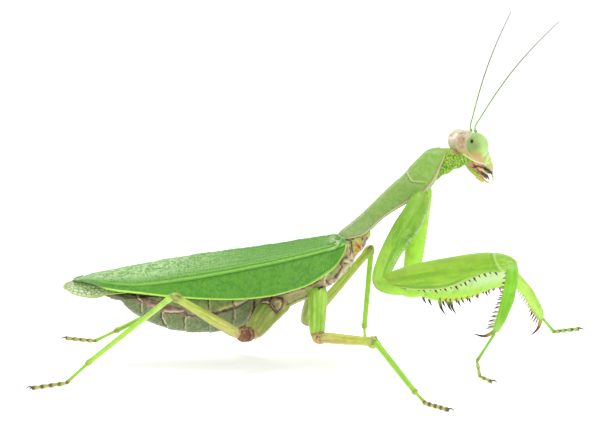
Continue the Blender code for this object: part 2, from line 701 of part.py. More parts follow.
def head_axes():
    """Forward, left and up of the head, whose face looks ahead and upward."""
    yaw = math.radians(HEAD_YAW)
    tilt = math.radians(HEAD_TILT)
    level = Vector((math.cos(yaw), math.sin(yaw), 0.0))
    left = Vector((-math.sin(yaw), math.cos(yaw), 0.0))
    top = Vector((0.0, 0.0, 1.0))
    forward = level * math.sin(tilt) + top * math.cos(tilt)
    up = top * math.sin(tilt) - level * math.cos(tilt)
    return forward, left, up


def make_head_parts():
    """Head, eyes, jaws, feelers and neck."""
    forward, left, up = HEAD_AXES
    rings = []
    for above, wide, front, back in HEAD_STATIONS:
        centre = head_point(0.0, (front - back) / 2.0, above)
        reach = (front + back) / 2.0
        rings.append(oval_ring(centre, left, forward, wide, reach, reach, HEAD_SIDES, 0.9))
    head = loft("head", rings, "head_mauve")
    eyes = []
    for name, hand in (("eye_right", -1), ("eye_left", 1)):
        bm = bmesh.new()
        bmesh.ops.create_uvsphere(bm, u_segments=16, v_segments=10, radius=1.0)
        tilt = (up + left * (EYE_LEAN * hand)).normalized()
        outward = forward.cross(tilt).normalized()
        centre = head_point(EYE_SIDE * hand, EYE_FORWARD, 0.0)
        for corner in bm.verts:
            a, b, c = corner.co
            place = centre + forward * (EYE_RADII[0] * a) + outward * (EYE_RADII[1] * b)
            place += tilt * (EYE_RADII[2] * c)
            corner.co = place * MM
        bmesh.ops.triangulate(bm, faces=bm.faces)
        eyes.append(new_object(name, bm, "eye_green"))
    clear_of(head, *eyes)
    jaws = []
    for hand, side in ((-1, "right"), (1, "left")):
        jaws.append(head_tube("mandible_" + side, MANDIBLE, hand, 8, "mouth_red"))
    for hand, side in ((-1, "right"), (1, "left")):
        lobe = head_tube("maxilla_" + side, MAXILLA, hand, 8, "mouth_red")
        boolean(lobe, [head_tube("palp", MAXILLA_PALP, hand, 6)], "UNION")
        jaws.append(lobe)
    labium = head_tube("labium", LABIUM, 1, 8, "mouth_red")
    for hand in (-1, 1):
        boolean(labium, [head_tube("palp", LABIUM_PALP, hand, 6)], "UNION")
    jaws.append(labium)
    placed = [head]
    for jaw in jaws:
        clear_of(jaw, *placed)
        placed.append(jaw)
    neck = tube("neck", [Vector(row[:3]) for row in NECK], [row[3] for row in NECK], 12, "shield_green")
    clear_of(neck, head, NODES["pronotum"], labium)
    for hand, side in ((-1, "right"), (1, "left")):
        aside, ahead, above = ANTENNA_BASE
        base = head_point(hand * aside, ahead, above)
        tip = Vector(ANTENNA_TIPS[side])
        bow = Vector(ANTENNA_BOWS[side])
        path = [base, base + forward * 0.36 + up * 0.72]
        for k in range(1, len(ANTENNA_RADII) - 1):
            share = k / (len(ANTENNA_RADII) - 2)
            path.append(path[1].lerp(tip, share) + bow * math.sin(math.pi * share))
        antenna = tube("antenna_" + side, path, ANTENNA_RADII, 6, "feeler_green")
        clear_of(antenna, head)


def foot_path(points, beads):
    """Points and radii along a foot that swells at the end of each of its joints."""
    path = []
    radii = []
    for (start, end), count in zip(zip(points, points[1:]), beads):
        for bead in range(count):
            for share, radius in ((0.08, 0.34), (0.6, 0.4), (0.92, 0.5)):
                path.append(start.lerp(end, (bead + share) / count))
                radii.append(radius)
    path.append(points[-1])
    radii.append(0.3)
    return path, radii


def make_foot(name, points, beads, scale=1.0):
    """A foot on the floor, with two claws at its toe."""
    path, radii = foot_path(points, beads)
    radii = [radius * scale for radius in radii]
    foot = tube(name, path, radii, FOOT_SIDES, "foot_brown", floor=FLOOR_LEVEL)
    toe = points[-1]
    ahead = points[-1] - points[-2]
    ahead.z = 0.0
    ahead.normalize()
    aside = Vector((-ahead.y, ahead.x, 0.0))
    claws = []
    for hand in (-1, 1):
        root = toe - ahead * 0.3 + aside * (0.12 * hand)
        path = [root, root + ahead * 0.7 + aside * (0.45 * hand) + Vector((0, 0, 0.1)),
                root + ahead * 1.25 + aside * (0.6 * hand) - Vector((0, 0, 0.1))]
        claws.append(tube("claw", path, [0.24, 0.2, 0.08], 4, floor=0.02))
    return boolean(foot, claws, "UNION")


def spread(count, first, last, jitter, generator):
    """Places of a row of spines between two shares of a length, a little uneven."""
    step = (last - first) / (count - 1)
    return [first + step * k + generator.uniform(-jitter, jitter) * step for k in range(count)]


def make_foreleg(side):
    """One grasping leg: coxa, trochanter, spined femur, spined tibia with its claw, and foot."""
    hand = -1 if side == "right" else 1
    generator = random.Random(SEED + hand)
    name = "fore_" + side
    root, hip, knee, ankle, heel, ball, toe = [Vector(p) for p in POSE[name]]
    coxa_hint = knee - hip
    coxa = limb("coxa_" + name, root, hip, COXA_STATIONS[side], coxa_hint, "leaf_green", sides=10)
    clear_of(coxa, NODES["pronotum"])
    along, across, depth = limb_frame(hip, knee, ankle - knee)
    trochanter_end = hip + (along * 0.88 + depth * TROCHANTER_DROP[side]) * 4.6
    trochanter_start = hip - along * 0.35 - depth * 0.2
    trochanter = limb("trochanter_" + name, trochanter_start, trochanter_end, FORE_TROCHANTER, depth,
                      "leaf_green")
    clear_of(trochanter, coxa)
    belly = FEMUR_BELLY[side]
    stations = [(share, wide, back, front * belly) for share, wide, back, front in FORE_FEMUR]
    femur = limb("femur_" + name, hip, knee, stations, ankle - knee, "leaf_green", sides=12)
    clear_of(femur, trochanter, coxa)
    tibia = limb("tibia_" + name, knee, ankle, FORE_TIBIA, hip - knee, "leaf_green", sides=10)
    clear_of(tibia, femur)
    outward = Vector((0.0, hand, 0.0))
    outer = across if across.dot(outward) > 0 else -across
    # Two rows of spines along the femur's underside and a few longer ones near its base.
    spines = []
    for count, first, last, aside, short, tall, thick in FEMUR_SPINES:
        for k, share in enumerate(spread(count, first, last, 0.12, generator)):
            front = smooth_curve([(s, f) for s, w, b, f in stations], share)
            wide = smooth_curve([(s, w) for s, w, b, f in stations], share)
            level = front * math.sqrt(max(1.0 - aside * aside, 0.1))
            place = hip.lerp(knee, share) + depth * (level - 0.15) + outer * (aside * wide)
            size = tall if k % 2 else short
            size = size * generator.uniform(0.88, 1.1)
            lean = depth * 0.9 + outer * (aside * 0.35) + along * 0.18
            spines.append(spike("spine", place, lean, along, size, thick))
    boolean(femur, spines, "UNION")
    # The tibia closes against the femur, so its spines point back toward the hip.
    shin, shin_across, shin_depth = limb_frame(knee, ankle, hip - knee)
    shin_outer = shin_across if shin_across.dot(outward) > 0 else -shin_across
    spines = []
    for count, first, last, aside in TIBIA_SPINES:
        for share in spread(count, first, last, 0.1, generator):
            front = smooth_curve([(s, f) for s, w, b, f in FORE_TIBIA], share)
            wide = smooth_curve([(s, w) for s, w, b, f in FORE_TIBIA], share)
            place = knee.lerp(ankle, share) + shin_depth * (front * 0.72) + shin_outer * (aside * wide)
            size = TIBIA_SPINE_LENGTH * (1.0 + share) * generator.uniform(0.9, 1.1)
            lean = shin_depth * 0.8 + shin * 0.55 + shin_outer * (aside * 0.3)
            spines.append(spike("spine", place, lean, shin, size, TIBIA_SPINE_THICKNESS))
    hook = [ankle + shin * past + shin_depth * inward for past, inward, radius in HOOK]
    spines.append(tube("hook", hook, [row[2] for row in HOOK], 6))
    boolean(tibia, spines, "UNION")
    # Small teeth along the front edge of the coxa.
    bar, bar_across, bar_depth = limb_frame(root, hip, coxa_hint)
    teeth = []
    tooth_length, tooth_thickness = COXA_TOOTH_SIZE
    for share in spread(*COXA_TEETH, 0.1, generator):
        front = smooth_curve([(s, f) for s, w, b, f in COXA_STATIONS[side]], share)
        place = root.lerp(hip, share) + bar_depth * (front - 0.12)
        size = tooth_length * generator.uniform(0.8, 1.2)
        teeth.append(spike("tooth", place, bar_depth + bar * 0.4, bar, size, tooth_thickness))
    boolean(coxa, teeth, "UNION")
    start = ankle + (heel - ankle).normalized() * 0.2 + shin_outer * 0.35
    foot = make_foot("tarsus_" + name, [start, heel, ball, toe], (1, 2, 2), 0.85)
    clear_of(foot, tibia)


def make_walking_leg(name, coxa_stations, femur_stations):
    """One of the four slim legs: coxa, trochanter, femur, tibia and foot."""
    root, hip, knee, ankle, heel, toe = [Vector(p) for p in POSE[name]]
    length_hint = Vector((1.0, 0.0, 0.0))
    coxa = limb("coxa_" + name, root, hip, coxa_stations, length_hint, "leaf_green", sides=10)
    clear_of(coxa, NODES["thorax"], NODES["abdomen"])
    thigh = (knee - hip).normalized()
    fall = (hip - root).normalized()
    trochanter = limb("trochanter_" + name, hip - fall * 0.5, hip + fall * 0.5 + thigh * 1.7, TROCHANTER,
                      length_hint, "joint_orange")
    clear_of(trochanter, coxa)
    bend = ankle - knee
    femur = limb("femur_" + name, hip, knee, femur_stations, bend, "leg_brown")
    clear_of(femur, trochanter, coxa)
    tibia = limb("tibia_" + name, knee, ankle, TIBIA, hip - knee, "leaf_green")
    clear_of(tibia, femur)
    shin = (ankle - knee).normalized()
    spurs = []
    side_ways = shin.cross(heel - ankle).normalized()
    for hand in (-1, 1):
        place = ankle - shin * 0.7 + side_ways * (0.3 * hand)
        spurs.append(spike("spur", place, shin + side_ways * hand, shin, *SPUR_SIZE))
    start = ankle + (heel - ankle).normalized() * 0.1
    foot = make_foot("tarsus_" + name, [start, heel, toe], (1, 4))
    clear_of(foot, tibia)
    boolean(tibia, spurs, "UNION")


for old in list(bpy.data.objects):
    bpy.data.objects.remove(old)
MATERIALS = {name: make_material(name) for name in COLOURS}
body_frame = bpy.data.objects.new("body_frame", None)
bpy.context.scene.collection.objects.link(body_frame)

NODES = {}
NODES["pronotum"] = make_prothorax()
NODES["thorax"] = make_thorax()
boolean(NODES["thorax"], [grown_copy(NODES["pronotum"], SHIELD_GAP)], "DIFFERENCE")
NODES["abdomen"] = make_abdomen()
make_forewing("tegmen_right", -1, False)
make_forewing("tegmen_left", 1, True)
make_hindwing("hindwing_right", -1)
make_hindwing("hindwing_left", 1)
for name, hand in (("cercus_right", -1), ("cercus_left", 1)):
    path = [Vector((x, aside * hand, z)) for x, aside, z, radius in CERCUS]
    cercus = tube(name, path, [row[3] for row in CERCUS], 6, "belly_green")
    clear_of(cercus, NODES["abdomen"])
HEAD_AXES = head_axes()
make_head_parts()
make_foreleg("right")
make_foreleg("left")
make_walking_leg("mid_right", MID_COXA, MID_FEMUR)
make_walking_leg("mid_left", MID_COXA, MID_FEMUR)
make_walking_leg("hind_right", HIND_COXA, HIND_FEMUR)
make_walking_leg("hind_left", HIND_COXA, HIND_FEMUR)
body_frame.location = Vector(BODY_OFFSET) * MM
bpy.context.view_layer.update()
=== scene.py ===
# %% [markdown]
# # A praying mantis on six feet
# This lesson gives a life-size mantis its looks. The plain solids of the animal come in as a fixed
# frame, and every piece below is laid over one or two of them. All sizes are in millimetres, in the
# frame of the body, where the animal looks along +X, its left side is +Y and the floor is Z = 0.

import math

import bpy
import numpy as np
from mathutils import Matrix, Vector


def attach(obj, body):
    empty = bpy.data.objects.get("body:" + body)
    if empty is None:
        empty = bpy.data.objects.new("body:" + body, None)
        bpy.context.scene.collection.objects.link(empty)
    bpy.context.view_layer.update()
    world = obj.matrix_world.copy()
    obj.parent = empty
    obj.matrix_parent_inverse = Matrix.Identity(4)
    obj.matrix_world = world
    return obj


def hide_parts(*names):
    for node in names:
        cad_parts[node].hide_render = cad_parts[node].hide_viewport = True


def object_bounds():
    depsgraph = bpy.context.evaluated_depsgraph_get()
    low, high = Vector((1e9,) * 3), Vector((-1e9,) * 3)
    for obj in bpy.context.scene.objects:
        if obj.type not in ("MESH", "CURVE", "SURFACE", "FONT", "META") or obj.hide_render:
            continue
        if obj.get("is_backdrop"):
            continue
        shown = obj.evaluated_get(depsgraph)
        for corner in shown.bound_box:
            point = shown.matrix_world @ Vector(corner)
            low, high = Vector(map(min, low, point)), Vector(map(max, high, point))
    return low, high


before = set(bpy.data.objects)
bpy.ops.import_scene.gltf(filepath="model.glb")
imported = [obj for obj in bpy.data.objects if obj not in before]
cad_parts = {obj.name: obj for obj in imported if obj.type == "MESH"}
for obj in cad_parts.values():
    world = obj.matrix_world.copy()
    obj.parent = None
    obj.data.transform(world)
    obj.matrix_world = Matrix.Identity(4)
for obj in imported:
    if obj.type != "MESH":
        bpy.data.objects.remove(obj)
solid_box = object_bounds()
MM = 0.001
# The body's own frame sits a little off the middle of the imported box.
BODY_SHIFT = np.array((-2.6, 4.15, 0.0))
print("nodes in the frame:", len(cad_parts))

# %% [markdown]
# ## The camera
# A small animal on a white table is photographed from some way off with a long lens, which keeps
# the near and the far legs about equally large. The view is square to the wings and looks down by
# 8.6 degrees. The lens follows from the width of the view, 107 mm, at the animal's middle.

# %% Camera
VIEW_DROP = 8.6
VIEW_DISTANCE = 450.0
VIEW_WIDTH = 107.1
VIEW_CENTRE = (0.0, 0.0, 25.0)
camera_data = bpy.data.cameras.new("camera")
camera_data.sensor_width = 36.0
camera_data.lens = camera_data.sensor_width * VIEW_DISTANCE / VIEW_WIDTH
camera_data.clip_start = 0.01
camera = bpy.data.objects.new("camera", camera_data)
bpy.context.scene.collection.objects.link(camera)
drop = math.radians(VIEW_DROP)
stand = np.array(VIEW_CENTRE) + np.array((0.0, -math.cos(drop), math.sin(drop))) * VIEW_DISTANCE
camera.location = Vector(stand + BODY_SHIFT) * MM
camera.rotation_euler = (math.radians(90.0 - VIEW_DROP), 0.0, 0.0)
bpy.context.scene.camera = camera
print("lens", round(camera_data.lens, 1), "mm")

# %% [markdown]
# ## Floor and light
# A high-key picture has a floor so bright that it runs into the white behind, with only a breath of
# shadow. A wide pale plane, a white sky and three large soft lamps do that: one overhead for the
# sheen on the wings, one in front for the side that we see, and a weak one behind for the edges.

# %% Floor, sky and lamps
FLOOR_HALF = 4000.0
floor_mesh = bpy.data.meshes.new("floor")
corners = [(x * FLOOR_HALF, y * FLOOR_HALF) for x, y in ((-1, -1), (1, -1), (1, 1), (-1, 1))]
floor_mesh.from_pydata([(x * MM, y * MM, 0.0) for x, y in corners], [], [(0, 1, 2, 3)])
floor = bpy.data.objects.new("floor", floor_mesh)
bpy.context.scene.collection.objects.link(floor)
floor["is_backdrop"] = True
world = bpy.data.worlds.new("white_sky")
world.use_nodes = True
world.node_tree.nodes["Background"].inputs["Color"].default_value = (1.0, 1.0, 1.0, 1.0)
world.node_tree.nodes["Background"].inputs["Strength"].default_value = 0.62
bpy.context.scene.world = world
bpy.context.scene.view_settings.view_transform = "Standard"
# Name, place, point looked at, width, watts.
LAMPS = (
    ("lamp_above", (-60.0, 40.0, 620.0), (0.0, 0.0, 20.0), 420.0, 1.7),
    ("lamp_front", (160.0, -620.0, 330.0), (0.0, 0.0, 20.0), 380.0, 0.7),
    ("lamp_behind", (-300.0, 560.0, 360.0), (0.0, 0.0, 20.0), 260.0, 0.5),
)
for name, place, target, width, watts in LAMPS:
    lamp_data = bpy.data.lights.new(name, "AREA")
    lamp_data.shape = "DISK"
    lamp_data.size = width * MM
    lamp_data.energy = watts
    lamp = bpy.data.objects.new(name, lamp_data)
    lamp.location = Vector(place) * MM
    aim = Vector(target) - Vector(place)
    lamp.rotation_euler = aim.to_track_quat("-Z", "Y").to_euler()
    bpy.context.scene.collection.objects.link(lamp)
print("lamps:", len(LAMPS))

# %% [markdown]
# ## Materials from marks
# Insect colour follows the body plan: a pale rim here, a dark spine tip there. A texture that only
# knows its place in space can't follow that, so each mesh carries marks, numbers kept at its points,
# such as how far along a spine a point lies. A material reads the marks, mixes its colours by them,
# and adds fine noise on top. The small class below only saves typing: each call adds one node.

# %% A class that builds a finish
PAINT = ("paint_red", "paint_green", "paint_blue")


class Finish:
    """One procedural material, put together node by node."""

    def __init__(self, name, roughness, coat=0.0, glow=0.0):
        self.material = bpy.data.materials.new(name)
        self.material.use_nodes = True
        self.nodes = self.material.node_tree.nodes
        self.links = self.material.node_tree.links
        self.shader = self.nodes["Principled BSDF"]
        self.shader.inputs["Roughness"].default_value = roughness
        self.shader.inputs["Specular IOR Level"].default_value = 0.3
        self.shader.inputs["Coat Weight"].default_value = coat
        self.shader.inputs["Coat Roughness"].default_value = 0.18
        self.shader.inputs["Subsurface Weight"].default_value = glow
        self.shader.inputs["Subsurface Radius"].default_value = (0.6, 1.0, 0.3)
        self.shader.inputs["Subsurface Scale"].default_value = 1.2 * MM
        self.place = self.nodes.new("ShaderNodeTexCoord").outputs["Object"]

    def put(self, socket, value):
        """Give a socket a value, or a wire from another socket."""
        if isinstance(value, bpy.types.NodeSocket):
            self.links.new(value, socket)
        elif hasattr(value, "__len__") and len(value) == 3 and socket.type == "RGBA":
            socket.default_value = (*value, 1.0)
        else:
            socket.default_value = value

    def mark(self, name):
        """The number that the mesh keeps at its points under this name."""
        node = self.nodes.new("ShaderNodeAttribute")
        node.attribute_name = name
        return node.outputs["Fac"]

    def painted(self):
        """The colour that was worked out for each point of the mesh and kept in three marks."""
        node = self.nodes.new("ShaderNodeCombineColor")
        for socket, name in zip(node.inputs, PAINT):
            self.put(socket, self.mark(name))
        return node.outputs["Color"]

    def stretched(self, size, stretch=(1.0, 1.0, 1.0)):
        """Places counted in steps of this size, and stretched."""
        node = self.nodes.new("ShaderNodeMapping")
        self.put(node.inputs["Vector"], self.place)
        node.inputs["Scale"].default_value = [s / (size * MM) for s in stretch]
        return node.outputs["Vector"]

    def noise(self, size, detail=3.0):
        """Soft blotches of about this size in millimetres."""
        node = self.nodes.new("ShaderNodeTexNoise")
        self.put(node.inputs["Vector"], self.stretched(size))
        node.inputs["Scale"].default_value = 1.0
        node.inputs["Detail"].default_value = detail
        return node.outputs["Fac"]

    def cells(self, size, stretch=(1.0, 1.0, 1.0)):
        """Distance from the middle of small cells of about this size in millimetres."""
        node = self.nodes.new("ShaderNodeTexVoronoi")
        self.put(node.inputs["Vector"], self.stretched(size, stretch))
        node.inputs["Scale"].default_value = 1.0
        return node.outputs["Distance"]

    def sum(self, kind, a, b):
        """Two values brought together by one sum of this kind."""
        node = self.nodes.new("ShaderNodeMath")
        node.operation = kind
        self.put(node.inputs[0], a)
        self.put(node.inputs[1], b)
        return node.outputs[0]

    def range(self, value, low, high):
        """Turn a value between low and high into 0 to 1, clamped."""
        node = self.nodes.new("ShaderNodeMapRange")
        self.put(node.inputs["Value"], value)
        node.inputs["From Min"].default_value = low
        node.inputs["From Max"].default_value = high
        return node.outputs["Result"]

    def ramp(self, value, *stops):
        """Colours along a value, as (place, colour) stops."""
        node = self.nodes.new("ShaderNodeValToRGB")
        elements = node.color_ramp.elements
        while len(elements) < len(stops):
            elements.new(1.0)
        for element, (place, colour) in zip(elements, stops):
            element.position = place
            element.color = (*colour, 1.0)
        self.put(node.inputs["Fac"], value)
        return node.outputs["Color"]

    def mix(self, amount, a, b):
        """Colour a where the amount is 0 and b where it is 1."""
        node = self.nodes.new("ShaderNodeMix")
        node.data_type = "RGBA"
        self.put(node.inputs[0], amount)
        self.put(node.inputs[6], a)
        self.put(node.inputs[7], b)
        return node.outputs[2]

    def veil(self, tone, colour, amount, spots, low=None, high=None):
        """Lay a colour thinly over a tone, where the spots are strong."""
        if low is not None:
            spots = self.range(spots, low, high)
        return self.mix(self.sum("MULTIPLY", spots, amount), tone, colour)

    def done(self, colour, height=None, depth=0.05):
        """Wire the colour, and a relief of a depth in millimetres."""
        self.put(self.shader.inputs["Base Color"], colour)
        if height is not None:
            bump = self.nodes.new("ShaderNodeBump")
            bump.inputs["Distance"].default_value = depth * MM
            bump.inputs["Strength"].default_value = 0.8
            self.put(bump.inputs["Height"], height)
            self.put(self.shader.inputs["Normal"], bump.outputs["Normal"])
        return self.material


paper = Finish("floor_white", 0.9)
paper.shader.inputs["Emission Color"].default_value = (1.0, 1.0, 1.0, 1.0)
paper.shader.inputs["Emission Strength"].default_value = 0.53
tint = paper.mix(paper.noise(60.0), (0.74, 0.74, 0.74), (0.76, 0.76, 0.76))
floor_mesh.materials.append(paper.done(tint))
print("finish class ready, floor painted")

# %% [markdown]
# ## Meshes from rows of points
# Legs, shield, wings and trunk are all rows of points joined row to row. Each piece starts as an
# array of points, so a ridge or a fold is one line of arithmetic: move the points out along their
# normals by a height worked out from where they are. That gives true relief, which shows in the
# outline, where a painted bump would not.

# %% Helpers for curves
UPRIGHT = (0.0, 0.0, 1.0)


def curve(knots, where):
    """Smooth line through (place, value) knots, flat past its ends; works on arrays."""
    rows = sorted(knots)
    xs = np.array([row[0] for row in rows], float)
    ys = np.array([row[1] for row in rows], float)
    slopes = np.empty(len(xs))
    slopes[1:-1] = (ys[2:] - ys[:-2]) / (xs[2:] - xs[:-2])
    slopes[0] = (ys[1] - ys[0]) / (xs[1] - xs[0])
    slopes[-1] = (ys[-1] - ys[-2]) / (xs[-1] - xs[-2])
    x = np.clip(where, xs[0], xs[-1])
    k = np.clip(np.searchsorted(xs, x, side="right") - 1, 0, len(xs) - 2)
    span = xs[k + 1] - xs[k]
    t = (x - xs[k]) / span
    return (
        (2 * t**3 - 3 * t**2 + 1) * ys[k] + (t**3 - 2 * t**2 + t) * slopes[k] * span
        + (3 * t**2 - 2 * t**3) * ys[k + 1] + (t**3 - t**2) * slopes[k + 1] * span
    )


def ease(value):
    """Zero below 0, one above 1, smooth between."""
    value = np.clip(value, 0.0, 1.0)
    return value * value * (3.0 - 2.0 * value)


def bell(distance, width):
    """One at distance zero, falling to nothing past about two widths."""
    return np.exp(-((distance / width) ** 2))


def unit(vector):
    vector = np.asarray(vector, float)
    return vector / np.maximum(np.linalg.norm(vector, axis=-1, keepdims=True), 1e-12)


def turn_of(count):
    """Angles of this many points round a circle."""
    return 2.0 * math.pi * np.arange(count) / count


def boxy(value, power):
    """A sine or cosine pushed outward a little, so that an oval turns squarer."""
    return np.sign(value) * np.abs(value) ** power


def over(value, level, speed):
    """Zero below a level, rising to one above it; the speed is one over the width of the rise."""
    return ease((value - level) * speed)


def under(value, level, speed):
    """Zero above a level and rising to one below it."""
    return ease((level - value) * speed)


def column(table, k):
    """Knots for a curve from a table: the place in each row, and its size number k."""
    return [(row[0], row[k]) for row in table]


print("ease at half gives", float(ease(0.5)), "and a bell at one width", round(float(bell(1.0, 1.0)), 2))

# %% [markdown]
# Grown surfaces never repeat exactly. Three patterns stand for that: a wavering along a line, a net
# of cells, and soft blotches. Each comes from a seed, so it is the same on each run.

# %% Patterns that look grown
WAVES = 4


def wander(place, seed):
    """A smooth wavering between about -1 and 1 along a line, the same on each run."""
    draw = np.random.default_rng(seed)
    total = np.zeros_like(place)
    for step in range(WAVES):
        rate = draw.uniform(0.7, 1.3) * 1.9**step
        total = total + np.sin(place * rate + draw.uniform(0.0, 6.28)) / 1.6**step
    return total / 2.0


def net(u, v, seed):
    """How near each point is to the border of irregular cells, one at the border."""
    draw = np.random.default_rng(seed)
    table = draw.uniform(0.12, 0.88, (64, 64, 2))
    base_u = np.floor(u).astype(int)
    base_v = np.floor(v).astype(int)
    first = np.full(u.shape, 9.0)
    second = np.full(u.shape, 9.0)
    for du in (-1, 0, 1):
        for dv in (-1, 0, 1):
            seeds = table[(base_u + du) % 64, (base_v + dv) % 64]
            away = np.hypot(base_u + du + seeds[..., 0] - u, base_v + dv + seeds[..., 1] - v)
            second = np.minimum(second, np.maximum(first, away))
            first = np.minimum(first, away)
    return bell(second - first, 0.16)


def patchy(u, v, seed, layers=3):
    """Soft irregular blotches between 0 and 1, about one unit across."""
    table = np.random.default_rng(seed).uniform(0.0, 1.0, (64, 64))
    total, weight = 0.0, 0.0
    for layer in range(layers):
        a, b = u * 2.0**layer + 11.3 * layer, v * 2.0**layer + 7.7 * layer
        i, j = np.floor(a).astype(int), np.floor(b).astype(int)
        s, t = ease(a - i), ease(b - j)
        near = table[i % 64, j % 64] * (1.0 - s) + table[(i + 1) % 64, j % 64] * s
        far = table[i % 64, (j + 1) % 64] * (1.0 - s) + table[(i + 1) % 64, (j + 1) % 64] * s
        total = total + (near * (1.0 - t) + far * t) * 0.6**layer
        weight += 0.6**layer
    return np.clip((total / weight - 0.5) * 1.7 + 0.5, 0.0, 1.0)


spread = patchy(np.linspace(0.0, 9.0, 90), np.zeros(90), 1)
print("blotches run from", round(float(spread.min()), 2), "to", round(float(spread.max()), 2))

# %% [markdown]
# Painting goes as on paper: a ground colour, and over it thin coats. Each coat has an amount between
# 0 and 1 at each point, and a stroke is such an amount, strong near a short drawn line.

# %% Painting with arrays
def stroke(u, v, width, *path):
    """One on a short drawn line and falling off beside it."""
    best = np.full(np.broadcast(u, v).shape, 9.0)
    for (u0, v0), (u1, v1) in zip(path, path[1:] or path):
        du, dv = u1 - u0, v1 - v0
        share = np.clip(((u - u0) * du + (v - v0) * dv) / max(du * du + dv * dv, 1e-9), 0.0, 1.0)
        best = np.minimum(best, np.hypot(u - u0 - share * du, v - v0 - share * dv))
    return bell(best, width)


def tinted(paint, amount, colour):
    """Blend a colour over a painted array by an amount at each point."""
    return paint + (np.array(colour) - paint) * np.clip(amount, 0.0, 1.0)[..., None]


def plain(like, colour):
    """One colour at each point of an array."""
    return np.zeros(like.shape + (3,)) + np.array(colour)


def layered(paint, *coats):
    """Lay one coat after another over a painted array, each an amount and a colour."""
    for amount, colour in coats:
        paint = tinted(paint, amount, colour)
    return paint


def pairs(numbers):
    """A row of numbers, two by two."""
    return zip(numbers[::2], numbers[1::2])


def colour_marks(stops):
    """The marks of a tube whose colour changes along it, from (share, colour) stops."""
    places, colours = zip(*stops)
    return {
        name: (lambda share, k=k: np.interp(share, places, [colour[k] for colour in colours]))
        for k, name in enumerate(PAINT)
    }


def paint_marks(paint):
    """Keep a painted array as three marks, one for each channel."""
    return {name: paint[..., k] for k, name in enumerate(PAINT)}


half_grey = layered(plain(np.zeros(1), (1.0, 1.0, 1.0)), (np.full(1, 0.5), (0.0, 0.0, 0.0)))
print("half a coat of black over white gives", half_grey[0].tolist())

# %% [markdown]
# A piece joins one or more grids into one object and hides the solids of the frame that it stands for.

# %% Helpers that turn grids into pieces
def grid(points, marks):
    """One part of a mesh: rows of points, joined round each row and closed at both ends."""
    rows, columns = points.shape[:2]
    index = np.arange(rows * columns).reshape(rows, columns)
    beside = np.roll(index, -1, axis=1)
    faces = np.stack((index[:-1], beside[:-1], beside[1:], index[1:]), axis=-1).reshape(-1, 4).tolist()
    flat = np.vstack((points.reshape(-1, 3), points[0].mean(axis=0), points[-1].mean(axis=0)))
    kept = {}
    for name, values in marks.items():
        values = np.broadcast_to(values, (rows, columns)).reshape(-1)
        kept[name] = np.append(values, (values[:columns].mean(), values[-columns:].mean()))
    first_end = rows * columns
    for k in range(columns):
        after = (k + 1) % columns
        faces.append([index[0, after], index[0, k], first_end])
        faces.append([index[-1, k], index[-1, after], first_end + 1])
    return {"points": flat, "faces": faces, "marks": kept}


def piece(name, parts, material, nodes):
    """Join parts into one object that stands for solid nodes of the frame."""
    points, faces, count = [], [], 0
    names = sorted({mark for part in parts for mark in part["marks"]})
    marks = {mark: [] for mark in names}
    for part in parts:
        size = len(part["points"])
        points.append(part["points"])
        faces.extend([[corner + count for corner in face] for face in part["faces"]])
        for mark in names:
            marks[mark].append(part["marks"].get(mark, np.zeros(size)))
        count += size
    placed = (np.vstack(points) + BODY_SHIFT) * MM
    mesh = bpy.data.meshes.new(name)
    mesh.from_pydata(placed.tolist(), [], faces)
    for mark in names:
        attribute = mesh.attributes.new(mark, "FLOAT", "POINT")
        attribute.data.foreach_set("value", np.concatenate(marks[mark]).astype(np.float32))
    mesh.validate()
    mesh.shade_smooth()
    mesh.materials.append(material)
    made = bpy.data.objects.new(name, mesh)
    bpy.context.scene.collection.objects.link(made)
    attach(made, "root")
    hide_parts(*nodes)
    print(name, "faces", len(faces), "stands for", ", ".join(nodes))
    return made


def normals_of(points, wrap=True):
    """Outward unit normals of a grid, by the rule of the right hand along and round it."""
    along = np.gradient(points, axis=0)
    if wrap:
        round_it = np.roll(points, -1, axis=1) - np.roll(points, 1, axis=1)
    else:
        round_it = np.gradient(points, axis=1)
    return unit(np.cross(round_it, along))


def faded_ends(rows):
    """Zero on the first and the last row of a grid, and one from the third row inward."""
    k = np.arange(rows)
    return np.minimum(1.0, np.minimum(k, rows - 1 - k) / 3.0)[:, None]


def two_faced(upper, lower, paint, hand):
    """One closed grid from the two faces of a wing, painted alike."""
    def joined(front, back):
        both = np.concatenate((front, back[:, ::-1]), axis=1)
        return both[:, ::-1] if hand > 0 else both

    marks = {name: joined(values, values) for name, values in paint_marks(paint).items()}
    return grid(joined(upper, lower), marks)


flat_sheet = np.array([[(row, place, 0.0) for place in range(3)] for row in range(3)], float)
print("a flat sheet faces", normals_of(flat_sheet, wrap=False)[1, 1].tolist())

# %% [markdown]
# ## Fore wings
# The fore wings of a mantis are leathery covers. One strong pale vein runs from the shoulder to the
# tip: below it lies the dull outer field with its fine slanting veinlets, above it the glossy inner
# field, netted with small cells. The right wing lies over the left one. Each wing is one sheet of
# points over the same curves as its solid; veins, veinlets and net are heights added to it.

# %% Sizes of the folded wings
WING_TIP_X = -40.9
SHOULDER_X = 6.9
WING_THICKNESS = 0.2
STACK_STEP = 0.95
